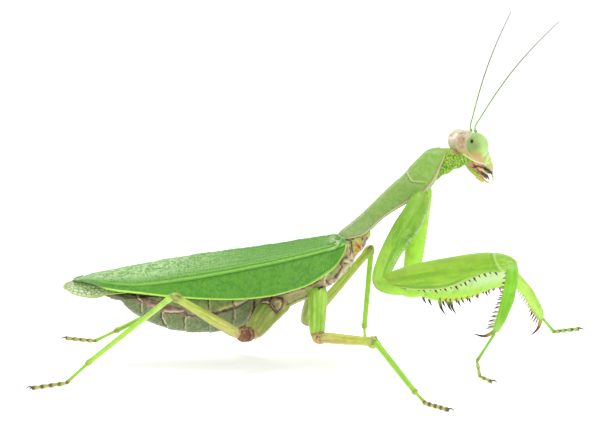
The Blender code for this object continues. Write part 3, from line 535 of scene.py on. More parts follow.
# How the wings round off from the ridge to the side, as a power of the way out.
WING_ROUNDING = 1.5
RIDGE_HEIGHT = (
    (-40.9, 15.5), (-38.1, 16.1), (-33.1, 17.0), (-26.4, 18.3), (-19.7, 19.45), (-12.9, 20.4),
    (-6.2, 21.3), (0.5, 22.4), (5.3, 23.1), (6.9, 23.1),
)
VEIN_SIDE = (
    (-40.9, 1.0), (-38.0, 2.2), (-34.4, 3.8), (-29.4, 4.8), (-22.7, 5.2), (-9.5, 5.3), (-2.8, 5.1),
    (3.8, 4.3), (6.9, 3.7),
)
VEIN_HEIGHT = (
    (-40.9, 15.1), (-38.0, 15.4), (-34.4, 15.0), (-29.4, 14.9), (-22.8, 15.7), (-16.1, 16.8),
    (-9.5, 18.1), (-2.8, 19.5), (4.8, 21.3), (6.9, 22.1),
)
COSTAL_SIDE = (
    (-40.9, 1.3), (-39.6, 2.1), (-38.0, 2.9), (-34.4, 4.5), (-29.4, 5.8), (-22.7, 6.6), (-11.0, 6.8),
    (-2.8, 6.4), (0.5, 6.0), (3.8, 5.2), (5.4, 4.7), (6.7, 4.2), (6.9, 4.0),
)
COSTAL_HEIGHT = (
    (-40.9, 15.0), (-38.0, 14.8), (-34.4, 14.1), (-29.4, 13.7), (-22.7, 13.1), (-16.1, 12.7),
    (-11.2, 12.7), (-6.2, 13.2), (-2.8, 14.0), (0.5, 15.1), (3.8, 17.0), (5.4, 18.4), (6.7, 20.6),
    (6.9, 21.9),
)
SUTURE_SIDE = (
    (-40.9, -0.8), (-38.5, -0.55), (-36.5, 0.2), (-33.0, 1.2), (-30.0, 1.9), (-15.0, 2.4), (-3.0, 2.2),
    (1.5, 1.2), (3.4, 0.2), (4.4, -0.9), (5.6, -2.3), (6.9, -3.4),
)


# The right wing lies on top, and its hind edge reaches further over the shoulder.
OVERLAP_SIDE = SUTURE_SIDE[:8] + ((3.4, 0.9), (4.4, 0.5), (5.6, -0.4), (6.9, -2.0))
print("fore wing", round(SHOULDER_X - WING_TIP_X, 1), "mm long")


def wing_top(x, side, lower):
    """Height of a folded fore wing, for a distance from the middle toward its own side."""
    away = np.abs(side)
    vein_side = curve(VEIN_SIDE, x)
    vein_height = curve(VEIN_HEIGHT, x)
    ridge = curve(RIDGE_HEIGHT, x)
    inner = ridge - (ridge - vein_height) * np.minimum(away / vein_side, 1.0) ** WING_ROUNDING
    outer_share = (away - vein_side) / np.maximum(curve(COSTAL_SIDE, x) - vein_side, 0.05)
    outer = vein_height - (vein_height - curve(COSTAL_HEIGHT, x)) * outer_share
    height = np.where(away <= vein_side, inner, outer)
    if lower:
        sunk = STACK_STEP * ease((4.8 - side) / 1.9) * ease((6.0 - x) / 2.6) * ease((x + 39.6) / 2.0)
        height = height - sunk
    return height


# %% Veins of a fore wing
LONG_VEINS = 9
VEINLET_STEP = 0.38
VEIN_RISE = 0.2
LONG_RISE = 0.09
NET_RISE = 0.08


def wing_relief(x, outer, inner, width, seed):
    """Height and colour of the veins; outer and inner are shares across the two fields."""
    draw = np.random.default_rng(seed)
    on_inner = inner >= 0.0
    past = np.where(on_inner, inner * width, (outer - 1.0) * width)
    from_edge = np.where(on_inner, 99.0, outer * width)
    whole = ease((x + 38.5) / 7.0)
    ahead = ease((x + 32.0) / 22.0)
    main = bell(past - 0.03, 0.19) * (0.15 + 0.85 * whole)
    second = bell(past - 0.72, 0.13) * ahead
    between = bell(past - 0.42, 0.12) * (0.2 + 0.8 * ahead) * whole
    groove = bell(past + 0.37, 0.13) * (0.35 + 0.65 * ahead) * whole
    light, dark = np.zeros_like(x), np.zeros_like(x)
    for k in range(LONG_VEINS):
        line = 0.15 + 0.097 * k + 0.012 * np.sin(x * 0.21 + k * 1.7)
        split = draw.uniform(-16.0, -2.0)
        branch = line + 0.05 * ease((split - x) / 9.0)
        for path, weight in ((line, 1.0), (branch, ease((split - x) / 1.0))):
            off = (inner - path) * width
            light = np.maximum(light, bell(off, 0.08) * weight)
            dark = np.maximum(dark, bell(off + 0.19, 0.09) * weight)
    uneven = 0.25 + 0.75 * patchy(x / 3.5, inner * width / 0.8, seed + 2)
    light, dark = light * on_inner * whole * uneven, dark * on_inner * whole * uneven
    small = net(x / 0.55, inner * width / 0.38, seed + 3) * on_inner
    specks = patchy(x / 0.45, inner * width / 0.32, seed + 4, 2) * on_inner
    lean = 0.15 + 0.75 * ease((6.0 - x) / 40.0)
    bent = 0.3 * wander(x * 0.9 + outer * 5.0, seed + 5)
    slant = (x + (1.0 - outer) * width * lean + bent) / VEINLET_STEP
    nearest = (slant - np.round(slant)) * VEINLET_STEP
    veinlets = bell(nearest, 0.08) * (~on_inner) * (0.4 + 0.6 * patchy(x / 2.0, outer * 3.0, seed + 8))
    bumps = patchy(x / 0.5, outer * width / 0.5, seed + 9, 2) * (~on_inner)
    height = VEIN_RISE * main - 0.09 * groove - 0.06 * between + 0.07 * second + LONG_RISE * light
    height = height + NET_RISE * small * (0.5 + 0.5 * whole) + 0.05 * veinlets + 0.03 * bumps
    rear = ease((-6.0 - x) / 24.0)
    tip = ease((-33.0 - x) / 6.0)
    blotch = patchy(x / 2.6, np.where(on_inner, inner * width, outer * width) / 1.6, seed + 11)
    field = on_inner * 1.0
    shine = patchy(x / 3.0, inner * 9.0, seed + 15) * field
    base = ease((x - 2.6) / 3.2)
    crumbs = patchy(x / 0.8, np.where(on_inner, inner * width, past) / 0.7, seed + 17)
    on_base = base * ease((past + 0.6) / 0.8)
    band = ease((x + 1.0) / 4.0)
    rim = bell(from_edge - 0.04, 0.17)
    paint = layered(
        plain(x, (0.08, 0.3, 0.014)),
        (blotch * 0.8, (0.115, 0.38, 0.022)),
        (veinlets * 0.7, (0.19, 0.5, 0.055)),
        (under(bumps, 0.42, 6.0) * 0.4 * (~on_inner), (0.05, 0.22, 0.01)),
        (field, (0.115, 0.365, 0.022)),
        (field * blotch * 0.5, (0.17, 0.45, 0.035)),
        (field * over(inner, 0.02, 3.5) * (0.03 + 0.85 * rear), (0.34, 0.62, 0.2)),
        (field * over(inner, 0.62, 4.0) * 0.5, (0.3, 0.56, 0.1)),
        (field * (1.0 - rear) * over(inner, 0.1, 4.0) * 0.65, (0.09, 0.33, 0.012)),
        # The net, pale behind: partly its own colour, partly painted sheen.
        (small * (0.15 + 0.75 * rear) * over(inner, 0.06, 6.0), (0.58, 0.82, 0.38)),
        (field * over(specks, 0.58, 6.0) * (0.15 + 0.6 * rear) * (1.0 - small), (0.05, 0.22, 0.015)),
        (field * under(specks, 0.4, 6.0) * rear * over(inner, 0.1, 3.0) * 0.75, (0.74, 0.88, 0.62)),
        (dark * (0.75 - 0.4 * rear), (0.05, 0.21, 0.01)),
        (light * (0.55 - 0.2 * rear), (0.28, 0.62, 0.1)),
        # Painted highlight: whitish patches of sheen on the inner field near the ridge, fading toward the
        # tip.
        (
            over(shine, 0.55, 5.0) * over(inner, 0.6, 4.0) * ease((x + 36.0) / 8.0) * 0.55,
            (0.66, 0.84, 0.55),
        ),
        (over(inner, 0.965, 40.0) * 0.7, (0.27, 0.38, 0.06)),
        (tip * field * 0.7, (0.33, 0.52, 0.22)),
        (tip * (~on_inner) * 0.45, (0.22, 0.46, 0.12)),
        (between * 0.75, (0.045, 0.21, 0.01)),
        (groove * 0.85, (0.035, 0.16, 0.008)),
        (second * 0.75, (0.26, 0.6, 0.07)),
        (main * whole * 0.9, (0.3, 0.66, 0.075)),
        (on_base * over(crumbs, 0.56, 7.0) * 0.75, (0.62, 0.78, 0.46)),
        (on_base * under(crumbs, 0.4, 7.0) * 0.7, (0.045, 0.17, 0.015)),
        (under(from_edge, 0.62, 7.0) * band * 0.8, (0.27, 0.56, 0.08)),
        (bell(from_edge - 0.72, 0.12) * band * 0.85, (0.045, 0.2, 0.012)),
        (bell(from_edge - 0.4, 0.1) * (1.0 - band) * 0.35, (0.04, 0.2, 0.03)),
        (rim * 1.2 * ease((x + 38.0) / 5.0), (0.52, 0.92, 0.11)),
        # Painted shadow: near the tip the lower rim is painted almost black, as the shade under the wing's
        # edge.
        (rim * ease((-34.5 - x) / 2.5) * 1.1, (0.035, 0.07, 0.015)),
    )
    return height, paint


print("long veins on the inner field:", LONG_VEINS)

# %% A fore wing from its curves
WING_ROWS = 460
OUTER_COLUMNS = 44
INNER_COLUMNS = 72


def fore_wing(hand, lower, seed):
    """Grid and marks of one fore wing; hand is -1 on the right and 1 on the left."""
    x = np.linspace(SHOULDER_X, WING_TIP_X, WING_ROWS)[:, None]
    up_the_outer, up_the_inner = np.linspace(0.0, 1.0, OUTER_COLUMNS), np.linspace(0.0, 1.0, INNER_COLUMNS)
    outer = np.concatenate((up_the_outer, np.full(INNER_COLUMNS - 1, 1.0)))[None, :]
    inner = np.concatenate((np.full(OUTER_COLUMNS - 1, -1.0), up_the_inner))[None, :]
    costal, vein = curve(COSTAL_SIDE, x), curve(VEIN_SIDE, x)
    suture = curve(OVERLAP_SIDE if hand < 0 else SUTURE_SIDE, x)
    outside = costal + (vein - costal) * outer
    inside = vein + (-suture - vein) * np.maximum(inner, 0.0)
    side = np.where(inner < 0.0, outside, inside)
    x = np.broadcast_to(x, side.shape)
    points = np.stack((x, hand * side, wing_top(x, side, lower)), axis=-1)
    drop = curve(VEIN_HEIGHT, x) - curve(COSTAL_HEIGHT, x)
    width = np.where(inner < 0.0, np.hypot(drop, costal - vein), np.abs(vein + suture) + 0.6)
    outer, inner = np.broadcast_to(outer, side.shape), np.broadcast_to(inner, side.shape)
    height, paint = wing_relief(x, outer, inner, width, seed)
    edge = bell(outer * width, 0.2) * (inner < 0.0) * ease((x + 40.0) / 4.0)
    base = ease((x - 1.0) / 5.0)
    crumple = 0.16 * base * wander(x * 2.6 + side * 1.9, seed + 21)
    ripple = 0.05 * wander(x * 0.9 + side * 0.5, seed + 31)
    up = normals_of(points, wrap=False) * (-hand)
    rim = faded_ends(WING_ROWS)
    lifted = points + up * ((height + crumple + ripple + 0.07 * edge) * rim)[..., None]
    below = points - up * (WING_THICKNESS * (0.35 + 0.65 * rim) + 0.1 * edge)[..., None]
    return two_faced(lifted, below, paint, hand)


# %% [markdown]
# Wing green isn't one green. The outer field is deep and matte. The inner one is lighter, with dark
# and pale lines along it in front and a net painted pale behind, partly its own colour and partly
# painted sheen, with whitish painted highlights near the ridge; toward the tip it pales. The main vein
# and the edge are yellow-green, and near the tip the lower edge is painted dark as a shadow. All that
# was worked out point by point above, so the finish only adds what is finer than the mesh: a grain in
# the colour and in the surface.

# %% Finish and pieces of the fore wings
leaf = Finish("wing_green", 0.4, coat=0.15, glow=0.1)
colour = leaf.veil(leaf.painted(), (0.3, 0.6, 0.14), 0.3, leaf.noise(0.4, 4.0), 0.5, 0.8)
colour = leaf.veil(colour, (0.05, 0.22, 0.01), 0.25, leaf.noise(0.9, 3.0), 0.5, 0.75)
wing_green = leaf.done(colour, leaf.noise(0.2, 3.0), 0.02)
piece("tegmen_skin_right", [fore_wing(-1, False, 11)], wing_green, ["tegmen_right"])
piece("tegmen_skin_left", [fore_wing(1, True, 12)], wing_green, ["tegmen_left"])

# %% [markdown]
# ## Hind wings
# The hind wings fold like fans under the covers, and only their clear, netted tips look out behind.
# They are thinner and paler than the covers, with low pleats along them. The same sheet of points
# does it, with the net larger and the colour of the cells near white.

# %% Hind wings
HINDWING_TIP_X = -42.6
HINDWING_FRONT_X = 1.0
HINDWING_INNER_SIDE = 0.3
HINDWING_THICKNESS = 0.12
HINDWING_TOP = (
    (-42.6, 14.1), (-42.3, 14.4), (-41.5, 14.75), (-40.8, 15.05), (-40.1, 15.2), (-38.1, 15.2),
    (-33.1, 15.3), (-26.4, 16.4), (-19.7, 17.6), (-12.9, 18.5), (-6.2, 19.3), (0.5, 20.5), (1.5, 20.7),
)
HINDWING_SIDE = (
    (-42.6, 1.0), (-42.0, 1.7), (-41.2, 2.3), (-38.5, 3.3), (-35.5, 3.8), (-33.5, 4.0), (-28.0, 4.2),
    (-10.0, 4.4), (0.0, 3.8), (1.5, 3.5),
)
HINDWING_LOW = (
    (-42.6, 13.9), (-42.3, 13.6), (-41.5, 13.3), (-40.5, 12.8), (-38.6, 12.5), (-37.0, 12.5),
    (-35.5, 12.9), (-33.5, 13.2), (-28.0, 13.8), (-20.0, 15.1), (-10.0, 16.7), (0.0, 18.8), (1.5, 19.2),
)


def hind_wing(hand, seed):
    """Grid and marks of one folded hind wing."""
    rows, columns = 340, 60
    x = np.linspace(HINDWING_FRONT_X, HINDWING_TIP_X, rows)[:, None]
    share = np.linspace(0.0, 1.0, columns)[None, :]
    reach = curve(HINDWING_SIDE, x)
    away = reach + (HINDWING_INNER_SIDE - reach) * share
    x = np.broadcast_to(x, away.shape)
    top, low = curve(HINDWING_TOP, x), curve(HINDWING_LOW, x)
    points = np.stack((x, hand * away, top - (top - low) * (away / reach) ** WING_ROUNDING), axis=-1)
    cells = net(x / 0.75, share * 7.0 + 0.0 * x, seed)
    ribs = bell((share * 5.5 - np.round(share * 5.5)) * 0.8, 0.11) + 0.0 * x
    lines = np.maximum(cells, ribs)
    up = normals_of(points, wrap=False) * (-hand)
    inside = faded_ends(rows)
    lifted = points + up * (0.07 * lines * inside)[..., None]
    below = points - up * (HINDWING_THICKNESS * (0.4 + 0.6 * inside))[..., None]
    paint = layered(
        plain(x, (0.8, 0.86, 0.7)),
        (patchy(x / 1.4, share * 5.0, seed + 1) * 0.5, (0.42, 0.62, 0.27)),
        (cells * 1.8, (0.14, 0.27, 0.035)),
        (ribs * over(patchy(x / 0.8, share * 6.0, seed + 2, 1), 0.25, 4.0), (0.26, 0.38, 0.05)),
        (bell(share * 3.0, 0.22) + 0.0 * x, (0.4, 0.56, 0.12)),
        (ease((-40.6 - x) / 1.6) * 0.6 + 0.0 * share, (0.46, 0.56, 0.24)),
    )
    return two_faced(lifted, below, paint, hand)


film = Finish("hind_wing_film", 0.28, coat=0.3, glow=0.3)
film_colour = film.veil(film.painted(), (0.62, 0.74, 0.46), 0.25, film.noise(0.5))
hind_film = film.done(film_colour, film.noise(0.2, 2.0), 0.01)
piece("hindwing_skin_right", [hind_wing(-1, 41)], hind_film, ["hindwing_right"])
piece("hindwing_skin_left", [hind_wing(1, 42)], hind_film, ["hindwing_left"])

# %% [markdown]
# ## The trunk
# Thorax and abdomen are one skin here, so that no seam shows where the solids part. The abdomen is
# built of plates: each belly plate swells a little to its rear edge and laps over the next, and a
# soft pleated fold runs along the flank between belly plates and back plates. The thorax is a box
# of small plates pulled up into creases around the leg roots. Plates, fold and creases are heights
# on one grid, and the same shapes are kept as marks for the colours.

# %% Sizes of the trunk
TRUNK = (
    (11.2, 22.8, 24.0, 1.0), (10.6, 22.0, 23.9, 1.4), (10.0, 20.8, 23.7, 1.8), (8.7, 19.3, 23.5, 2.4),
    (7.6, 17.2, 23.4, 2.9), (5.0, 14.65, 22.0, 3.6), (2.6, 13.15, 21.8, 4.0), (1.3, 12.5, 20.0, 4.2),
    (-2.0, 10.9, 19.9, 4.6), (-5.5, 9.2, 18.9, 4.6), (-9.0, 8.1, 17.8, 4.35), (-12.0, 6.7, 18.0, 5.2),
    (-16.4, 5.9, 17.6, 5.7), (-20.4, 5.9, 17.0, 5.8), (-24.5, 6.6, 16.2, 5.6), (-29.1, 8.6, 15.2, 4.9),
    (-31.1, 10.1, 14.8, 4.2), (-31.8, 10.9, 14.6, 3.8), (-32.5, 11.45, 14.4, 3.4),
    (-33.5, 11.7, 14.2, 2.9), (-34.8, 12.1, 13.8, 2.0), (-35.6, 12.4, 13.6, 1.2),
)
PLATE_BORDERS = (-9.2, -12.7, -16.8, -21.0, -24.8, -28.6, -31.8, -34.2)
# How far the foot of each border leans forward.
BORDER_LEAN = ((-34.0, 0.0), (-28.6, 0.2), (-24.8, 0.9), (-21.0, -0.1), (-9.2, 0.0))
FLANK_FOLD = (
    (-34.0, 13.6), (-31.5, 12.9), (-29.3, 12.2), (-24.4, 10.6), (-19.4, 9.6), (-16.1, 9.9),
    (-12.8, 11.3), (-9.5, 13.0), (-6.0, 13.8),
)
PLATE_SWELL = 0.16
# The abdomen begins at one place, and the creased skin of the thorax reaches back to another.
ABDOMEN_FROM, THORAX_TO = -8.4, -9.4
FIRST_PLATE_FROM, LAST_PLATE_TO = -5.5, -36.0
# Room left below the wings: in front, under the lower fore wing, and under the hind wings.
ROOM_IN_FRONT, ROOM_UNDER_COVER, ROOM_UNDER_FAN = 0.8, 0.3, 1.1
print("trunk", round(TRUNK[0][0] - TRUNK[-1][0], 1), "mm long, borders of plates:", len(PLATE_BORDERS))

# %% [markdown]
# Thorax and flank have no regular pattern to compute: scars, creases and pads of many colours meet
# around the leg roots. They are drawn instead, as a painter would, from a list of short strokes in
# the side view: u is the way forward and v the height as seen along the line of sight, in mm.
# One cream stroke among them is a painted highlight.

# %% Strokes on the flank
# Each row is width, colour and strength, and then u, v, u, v along the course.
BONE, SALMON = (0.72, 0.68, 0.4), (0.58, 0.38, 0.25)
UMBER, WINE_BROWN = (0.3, 0.17, 0.15), (0.17, 0.05, 0.06)
PITCH, PLUM, EMBER = (0.055, 0.025, 0.025), (0.2, 0.07, 0.13), (0.66, 0.2, 0.04)
LIME, MOSS, LEAF, LEMON = (0.42, 0.56, 0.1), (0.3, 0.33, 0.1), (0.26, 0.42, 0.06), (0.56, 0.58, 0.1)
FLANK_MARKS = (
    (0.9, (0.56, 0.58, 0.13), 0.8, 8.5, 21.4, 9.1, 19.9),
    (0.45, (0.62, 0.68, 0.22), 0.8, 11.2, 23.6, 10.7, 22.3),
    (0.6, (0.56, 0.58, 0.13), 0.8, 9.0, 21.5, 10.2, 21.5),
    (0.7, MOSS, 0.85, 6.4, 22.2, 7.6, 21.7),
    (0.32, (0.38, 0.25, 0.34), 0.85, 10.3, 21.9, 10.1, 21.1),
    (0.1, WINE_BROWN, 0.85, 9.85, 22.2, 9.75, 21.2, 9.9, 20.6),
    (0.1, (0.55, 0.05, 0.06), 0.85, 10.6, 22.3, 10.6, 21.6, 10.2, 20.9, 9.9, 20.3),
    (0.21, EMBER, 0.85, 8.7, 21.0),
    (0.21, EMBER, 0.85, 9.1, 20.7),
    (0.21, EMBER, 0.85, 9.5, 21.1),
    (0.21, EMBER, 0.85, 9.7, 20.5),
    (0.21, EMBER, 0.85, 8.8, 20.3),
    (0.12, (0.72, 0.26, 0.05), 0.9, 8.6, 21.4, 9.3, 20.8, 8.6, 20.0, 9.3, 19.9),
    (0.12, WINE_BROWN, 0.8, 9.0, 20.9, 9.4, 20.4),
    (0.12, EMBER, 0.9, 8.2, 19.1, 8.8, 19.4, 9.5, 20.1),
    (0.1, BONE, 0.6, 9.8, 21.7, 9.6, 20.5),
    (0.09, PITCH, 0.7, 6.2, 22.1, 7.0, 21.9, 7.6, 21.7, 8.3, 22.1),
    (0.14, BONE, 0.8, 7.3, 21.1, 7.8, 19.5, 8.0, 18.6),
    (0.1, PITCH, 0.8, 7.9, 21.5, 7.95, 20.6, 8.1, 19.7),
    (0.09, WINE_BROWN, 0.8, 7.6, 20.6, 7.8, 19.9, 7.6, 19.3),
    (0.14, BONE, 0.7, 7.0, 21.3, 6.8, 19.9),
    (0.4, SALMON, 0.7, 6.8, 19.5, 7.3, 18.6),
    (0.3, WINE_BROWN, 0.75, 7.0, 18.9, 6.4, 18.4, 6.0, 17.7),
    (0.11, PITCH, 0.9, 6.7, 17.8, 7.1, 17.9),
    (0.18, BONE, 0.85, 6.7, 18.2, 7.6, 18.1),
    (0.16, PLUM, 0.8, 7.8, 18.3),
    (0.28, BONE, 0.9, 7.8, 17.8, 6.8, 16.5),
    (0.09, LIME, 0.9, 7.6, 17.7, 6.8, 16.5),
    (0.1, WINE_BROWN, 0.9, 7.5, 17.1, 7.2, 16.6),
    (0.12, EMBER, 0.8, 6.7, 16.3),
    (0.75, MOSS, 0.7, 5.1, 17.0, 4.3, 15.7, 3.9, 15.2),
    (0.13, WINE_BROWN, 0.95, 6.2, 17.3, 5.7, 16.2, 5.4, 15.7, 5.0, 15.2, 4.2, 15.0, 3.6, 14.6),
    (0.2, PITCH, 0.9, 5.4, 15.8, 5.1, 15.4),
    (0.5, SALMON, 0.8, 4.5, 14.6, 5.1, 14.2),
    (0.3, SALMON, 0.7, 4.4, 14.0, 4.4, 13.5),
    # Painted highlight: a cream streak of light down the edge of the pink plate.
    (0.2, BONE, 0.8, 6.2, 16.0, 5.7, 14.9, 5.1, 14.3),
    (0.14, BONE, 0.9, 3.7, 16.0, 3.3, 15.3, 3.2, 14.4),
    (0.11, WINE_BROWN, 0.8, 3.5, 14.8, 3.9, 14.2, 4.3, 14.2),
    (0.09, WINE_BROWN, 0.7, 4.9, 14.8, 4.7, 14.0, 4.2, 13.4),
    (0.14, BONE, 0.6, 2.5, 13.9, 3.1, 14.0, 3.8, 13.8),
    (0.13, WINE_BROWN, 0.95, 2.3, 13.4, 3.0, 13.7, 3.7, 13.5, 3.9, 13.0),
    (0.14, PITCH, 0.9, 3.8, 12.9),
    (0.5, MOSS, 0.6, 1.7, 14.4, 0.3, 13.8),
    (0.25, SALMON, 0.8, 2.3, 14.3, 2.9, 14.5),
    (0.4, LEAF, 0.8, 0.1, 13.4, 0.2, 12.6),
    (0.11, WINE_BROWN, 0.7, -1.0, 13.5, -0.2, 13.8, 0.9, 14.0, 2.5, 14.9),
    (0.9, MOSS, 0.55, -3.0, 12.0, -0.7, 12.6),
    (0.28, SALMON, 0.8, -3.1, 12.5, -0.5, 13.3),
    (0.12, WINE_BROWN, 0.85, -4.1, 12.5, -3.3, 12.7, -1.3, 13.4, -0.4, 13.6),
    (0.4, LIME, 0.45, -3.7, 10.2, -1.9, 10.9, -0.2, 11.8),
    (0.09, WINE_BROWN, 0.7, -3.3, 10.6, -2.1, 11.2, -1.0, 11.7, 0.0, 12.1),
    (0.12, PITCH, 0.7, 0.1, 12.2),
    (0.6, UMBER, 0.85, -7.4, 11.6, -5.7, 11.9, -4.3, 12.0),
    (0.5, (0.24, 0.13, 0.11), 0.9, -6.1, 10.9, -5.1, 9.5),
    (0.3, (0.4, 0.3, 0.16), 0.8, -5.2, 10.8, -4.9, 10.0),
    (0.2, MOSS, 0.7, -5.3, 11.4, -4.6, 11.4),
    (0.35, SALMON, 0.7, -3.8, 11.5, -3.5, 11.2),
    (0.13, PITCH, 0.8, -5.9, 12.2, -6.3, 11.3, -6.5, 10.8),
    (0.14, WINE_BROWN, 0.8, -5.0, 11.9, -4.2, 11.7, -4.1, 11.1),
    (0.08, BONE, 0.75, -5.2, 11.1, -4.6, 11.2, -4.4, 10.8, -4.6, 10.1),
    (0.1, PITCH, 0.85, -6.4, 10.8, -5.8, 10.0, -5.2, 9.2),
    (0.09, PITCH, 0.7, -5.9, 10.6, -4.9, 9.4),
    (0.06, SALMON, 0.6, -6.1, 10.6, -5.4, 9.8),
    (0.18, WINE_BROWN, 0.7, -5.1, 9.2),
    (0.12, WINE_BROWN, 0.85, -3.9, 10.9, -4.3, 10.1, -4.7, 9.5),
    (0.13, SALMON, 0.8, -3.7, 10.6, -4.0, 9.9),
    (0.1, BONE, 0.8, -7.6, 11.0, -6.5, 11.0),
    (0.09, WINE_BROWN, 0.8, -7.6, 10.8, -6.5, 10.8),
)
BELLY_MARKS = (
    (0.75, (0.14, 0.12, 0.07), 0.5, -33.5, 11.6, -32.4, 11.0),
    (0.34, PITCH, 0.85, -34.8, 12.0, -34.3, 11.7),
    (0.14, WINE_BROWN, 0.9, -32.4, 12.9, -30.2, 12.6, -27.9, 11.8, -26.4, 11.4, -25.3, 11.1, -23.7, 12.0),
    (0.2, BONE, 0.8, -29.4, 12.3, -29.2, 11.7, -28.6, 11.1),
    (0.09, WINE_BROWN, 0.9, -29.7, 12.4, -29.4, 11.6, -28.5, 10.9),
    (0.09, WINE_BROWN, 0.9, -29.2, 12.4, -28.3, 11.7, -28.2, 11.0),
    (0.34, UMBER, 0.85, -28.2, 11.0, -26.8, 10.7, -25.3, 10.4, -24.1, 10.1, -22.6, 10.0, -20.9, 9.6),
    (0.13, WINE_BROWN, 0.9, -26.9, 11.0, -25.3, 10.8, -23.7, 10.5, -21.5, 9.8),
    (0.22, WINE_BROWN, 0.8, -24.7, 10.2, -23.7, 10.0),
    (0.12, SALMON, 0.8, -27.5, 10.5, -25.3, 10.1),
    (0.11, BONE, 0.75, -24.5, 9.5, -22.6, 9.4, -21.0, 9.5),
    (0.09, WINE_BROWN, 0.8, -24.5, 9.2, -22.8, 9.1, -21.0, 9.3),
    (0.2, UMBER, 0.9, -21.0, 9.5, -20.7, 8.9, -20.1, 8.7, -19.2, 8.8, -17.7, 8.9, -16.4, 9.0),
    (0.1, PITCH, 0.8, -20.9, 9.4, -20.6, 8.8, -19.8, 8.7, -18.8, 8.9, -17.7, 8.8, -16.4, 9.0),
    (0.13, PITCH, 0.95, -16.4, 9.0, -15.1, 9.2, -13.9, 9.6, -12.4, 10.0, -11.5, 10.4,
     -10.6, 11.0, -9.8, 11.5),
    (0.15, WINE_BROWN, 0.6, -16.4, 9.2, -15.1, 9.4, -13.9, 9.8),
    (0.11, LEMON, 0.8, -15.1, 9.75, -13.7, 10.15, -12.8, 10.5),
    (0.24, UMBER, 0.8, -16.8, 10.0),
    (0.16, SALMON, 0.7, -17.1, 9.3, -16.7, 9.6),
    (0.2, BONE, 0.6, -12.5, 10.7, -11.3, 10.9, -10.2, 11.4),
    (0.1, WINE_BROWN, 0.8, -12.7, 10.8, -12.3, 10.1),
    (0.09, PITCH, 0.95, -16.6, 8.95, -15.1, 9.15, -13.9, 9.5, -12.4, 9.95, -11.5,
     10.35, -10.6, 10.95, -9.6, 11.55),
    (0.28, UMBER, 0.8, -9.8, 11.6, -8.8, 11.7, -7.5, 11.9),
    (0.07, BONE, 0.35, -16.75, 11.4, -16.65, 10.2),
    (0.09, PITCH, 0.75, -17.0, 11.4, -16.9, 10.2),
    (0.1, PITCH, 0.5, -12.7, 11.7, -12.7, 10.8),
    (0.08, BONE, 0.75, -24.9, 9.3, -24.9, 8.4, -24.5, 7.3, -24.0, 6.8),
    (0.11, PITCH, 0.7, -25.2, 9.3, -25.2, 8.3, -24.8, 7.2, -24.3, 6.7),
    (0.07, BONE, 0.65, -20.2, 8.5, -20.9, 8.5, -21.0, 7.6, -21.1, 6.5),
    (0.09, PITCH, 0.55, -21.2, 8.4, -21.3, 6.5),
    (0.11, BONE, 0.5, -28.5, 10.8, -28.6, 9.4),
    (0.1, PITCH, 0.45, -28.8, 10.8, -28.9, 9.3),
    (0.11, WINE_BROWN, 0.7, -12.6, 9.9, -12.6, 8.8, -12.7, 8.1),
    (0.1, BONE, 0.3, -12.4, 9.8, -12.3, 8.2),
    (0.16, PITCH, 0.85, -9.0, 11.6, -9.0, 10.3, -9.3, 9.0, -9.9, 7.9, -10.3, 7.3),
    (0.1, SALMON, 0.6, -9.4, 11.0, -9.5, 9.4, -10.1, 8.1),
)


print("strokes on the flank:", len(FLANK_MARKS), "and on the belly:", len(BELLY_MARKS))

# %% Drawing the strokes
# Strokes thinner than this are dented into the skin if dark, and are drawn a little wider.
THIN, WIDER = 0.21, 1.25


def side_view(points):
    """Coordinates u and v of points as seen from the side, the left side mirrored."""
    return points[..., 0], points[..., 2] * math.cos(drop) - np.abs(points[..., 1]) * math.sin(drop)


def drawn(paint, points, strokes, share=1.0):
    """Add a list of strokes to a painted array, and give the depth of its dark lines too."""
    u, v = side_view(points)
    u = u + 0.07 * wander(v * 5.0 + u, 33)
    v = v + 0.07 * wander(u * 5.0 - v, 35)
    dents = np.zeros_like(u)
    for width, colour, amount, *course in strokes:
        here = stroke(u, v, width * (WIDER if width < THIN else 1.0), *pairs(course))
        paint = tinted(paint, here * amount * 1.4 * share, colour)
        dents = np.maximum(dents, here * (sum(colour) < 0.35) * (width < THIN))
    return paint, dents


def under_wings(x, away):
    """Highest level that the trunk may reach below the folded wings."""
    roof = wing_top(x, away, False) - STACK_STEP - ROOM_IN_FRONT
    low_roof = wing_top(x, away, False) - 2.0 * STACK_STEP - ROOM_UNDER_COVER
    reach = curve(HINDWING_SIDE, x)
    top, low = curve(HINDWING_TOP, x), curve(HINDWING_LOW, x)
    hind = top - (top - low) * np.minimum(away / reach, 1.0) ** WING_ROUNDING - ROOM_UNDER_FAN
    roof = np.where(x < 1.4, np.minimum(low_roof, hind), roof)
    return np.where(x < SHOULDER_X, roof, 99.0)


room = under_wings(np.array(-10.0), np.array(0.0))
print("height under the wings, 10 mm behind the middle:", round(float(room), 1), "mm")


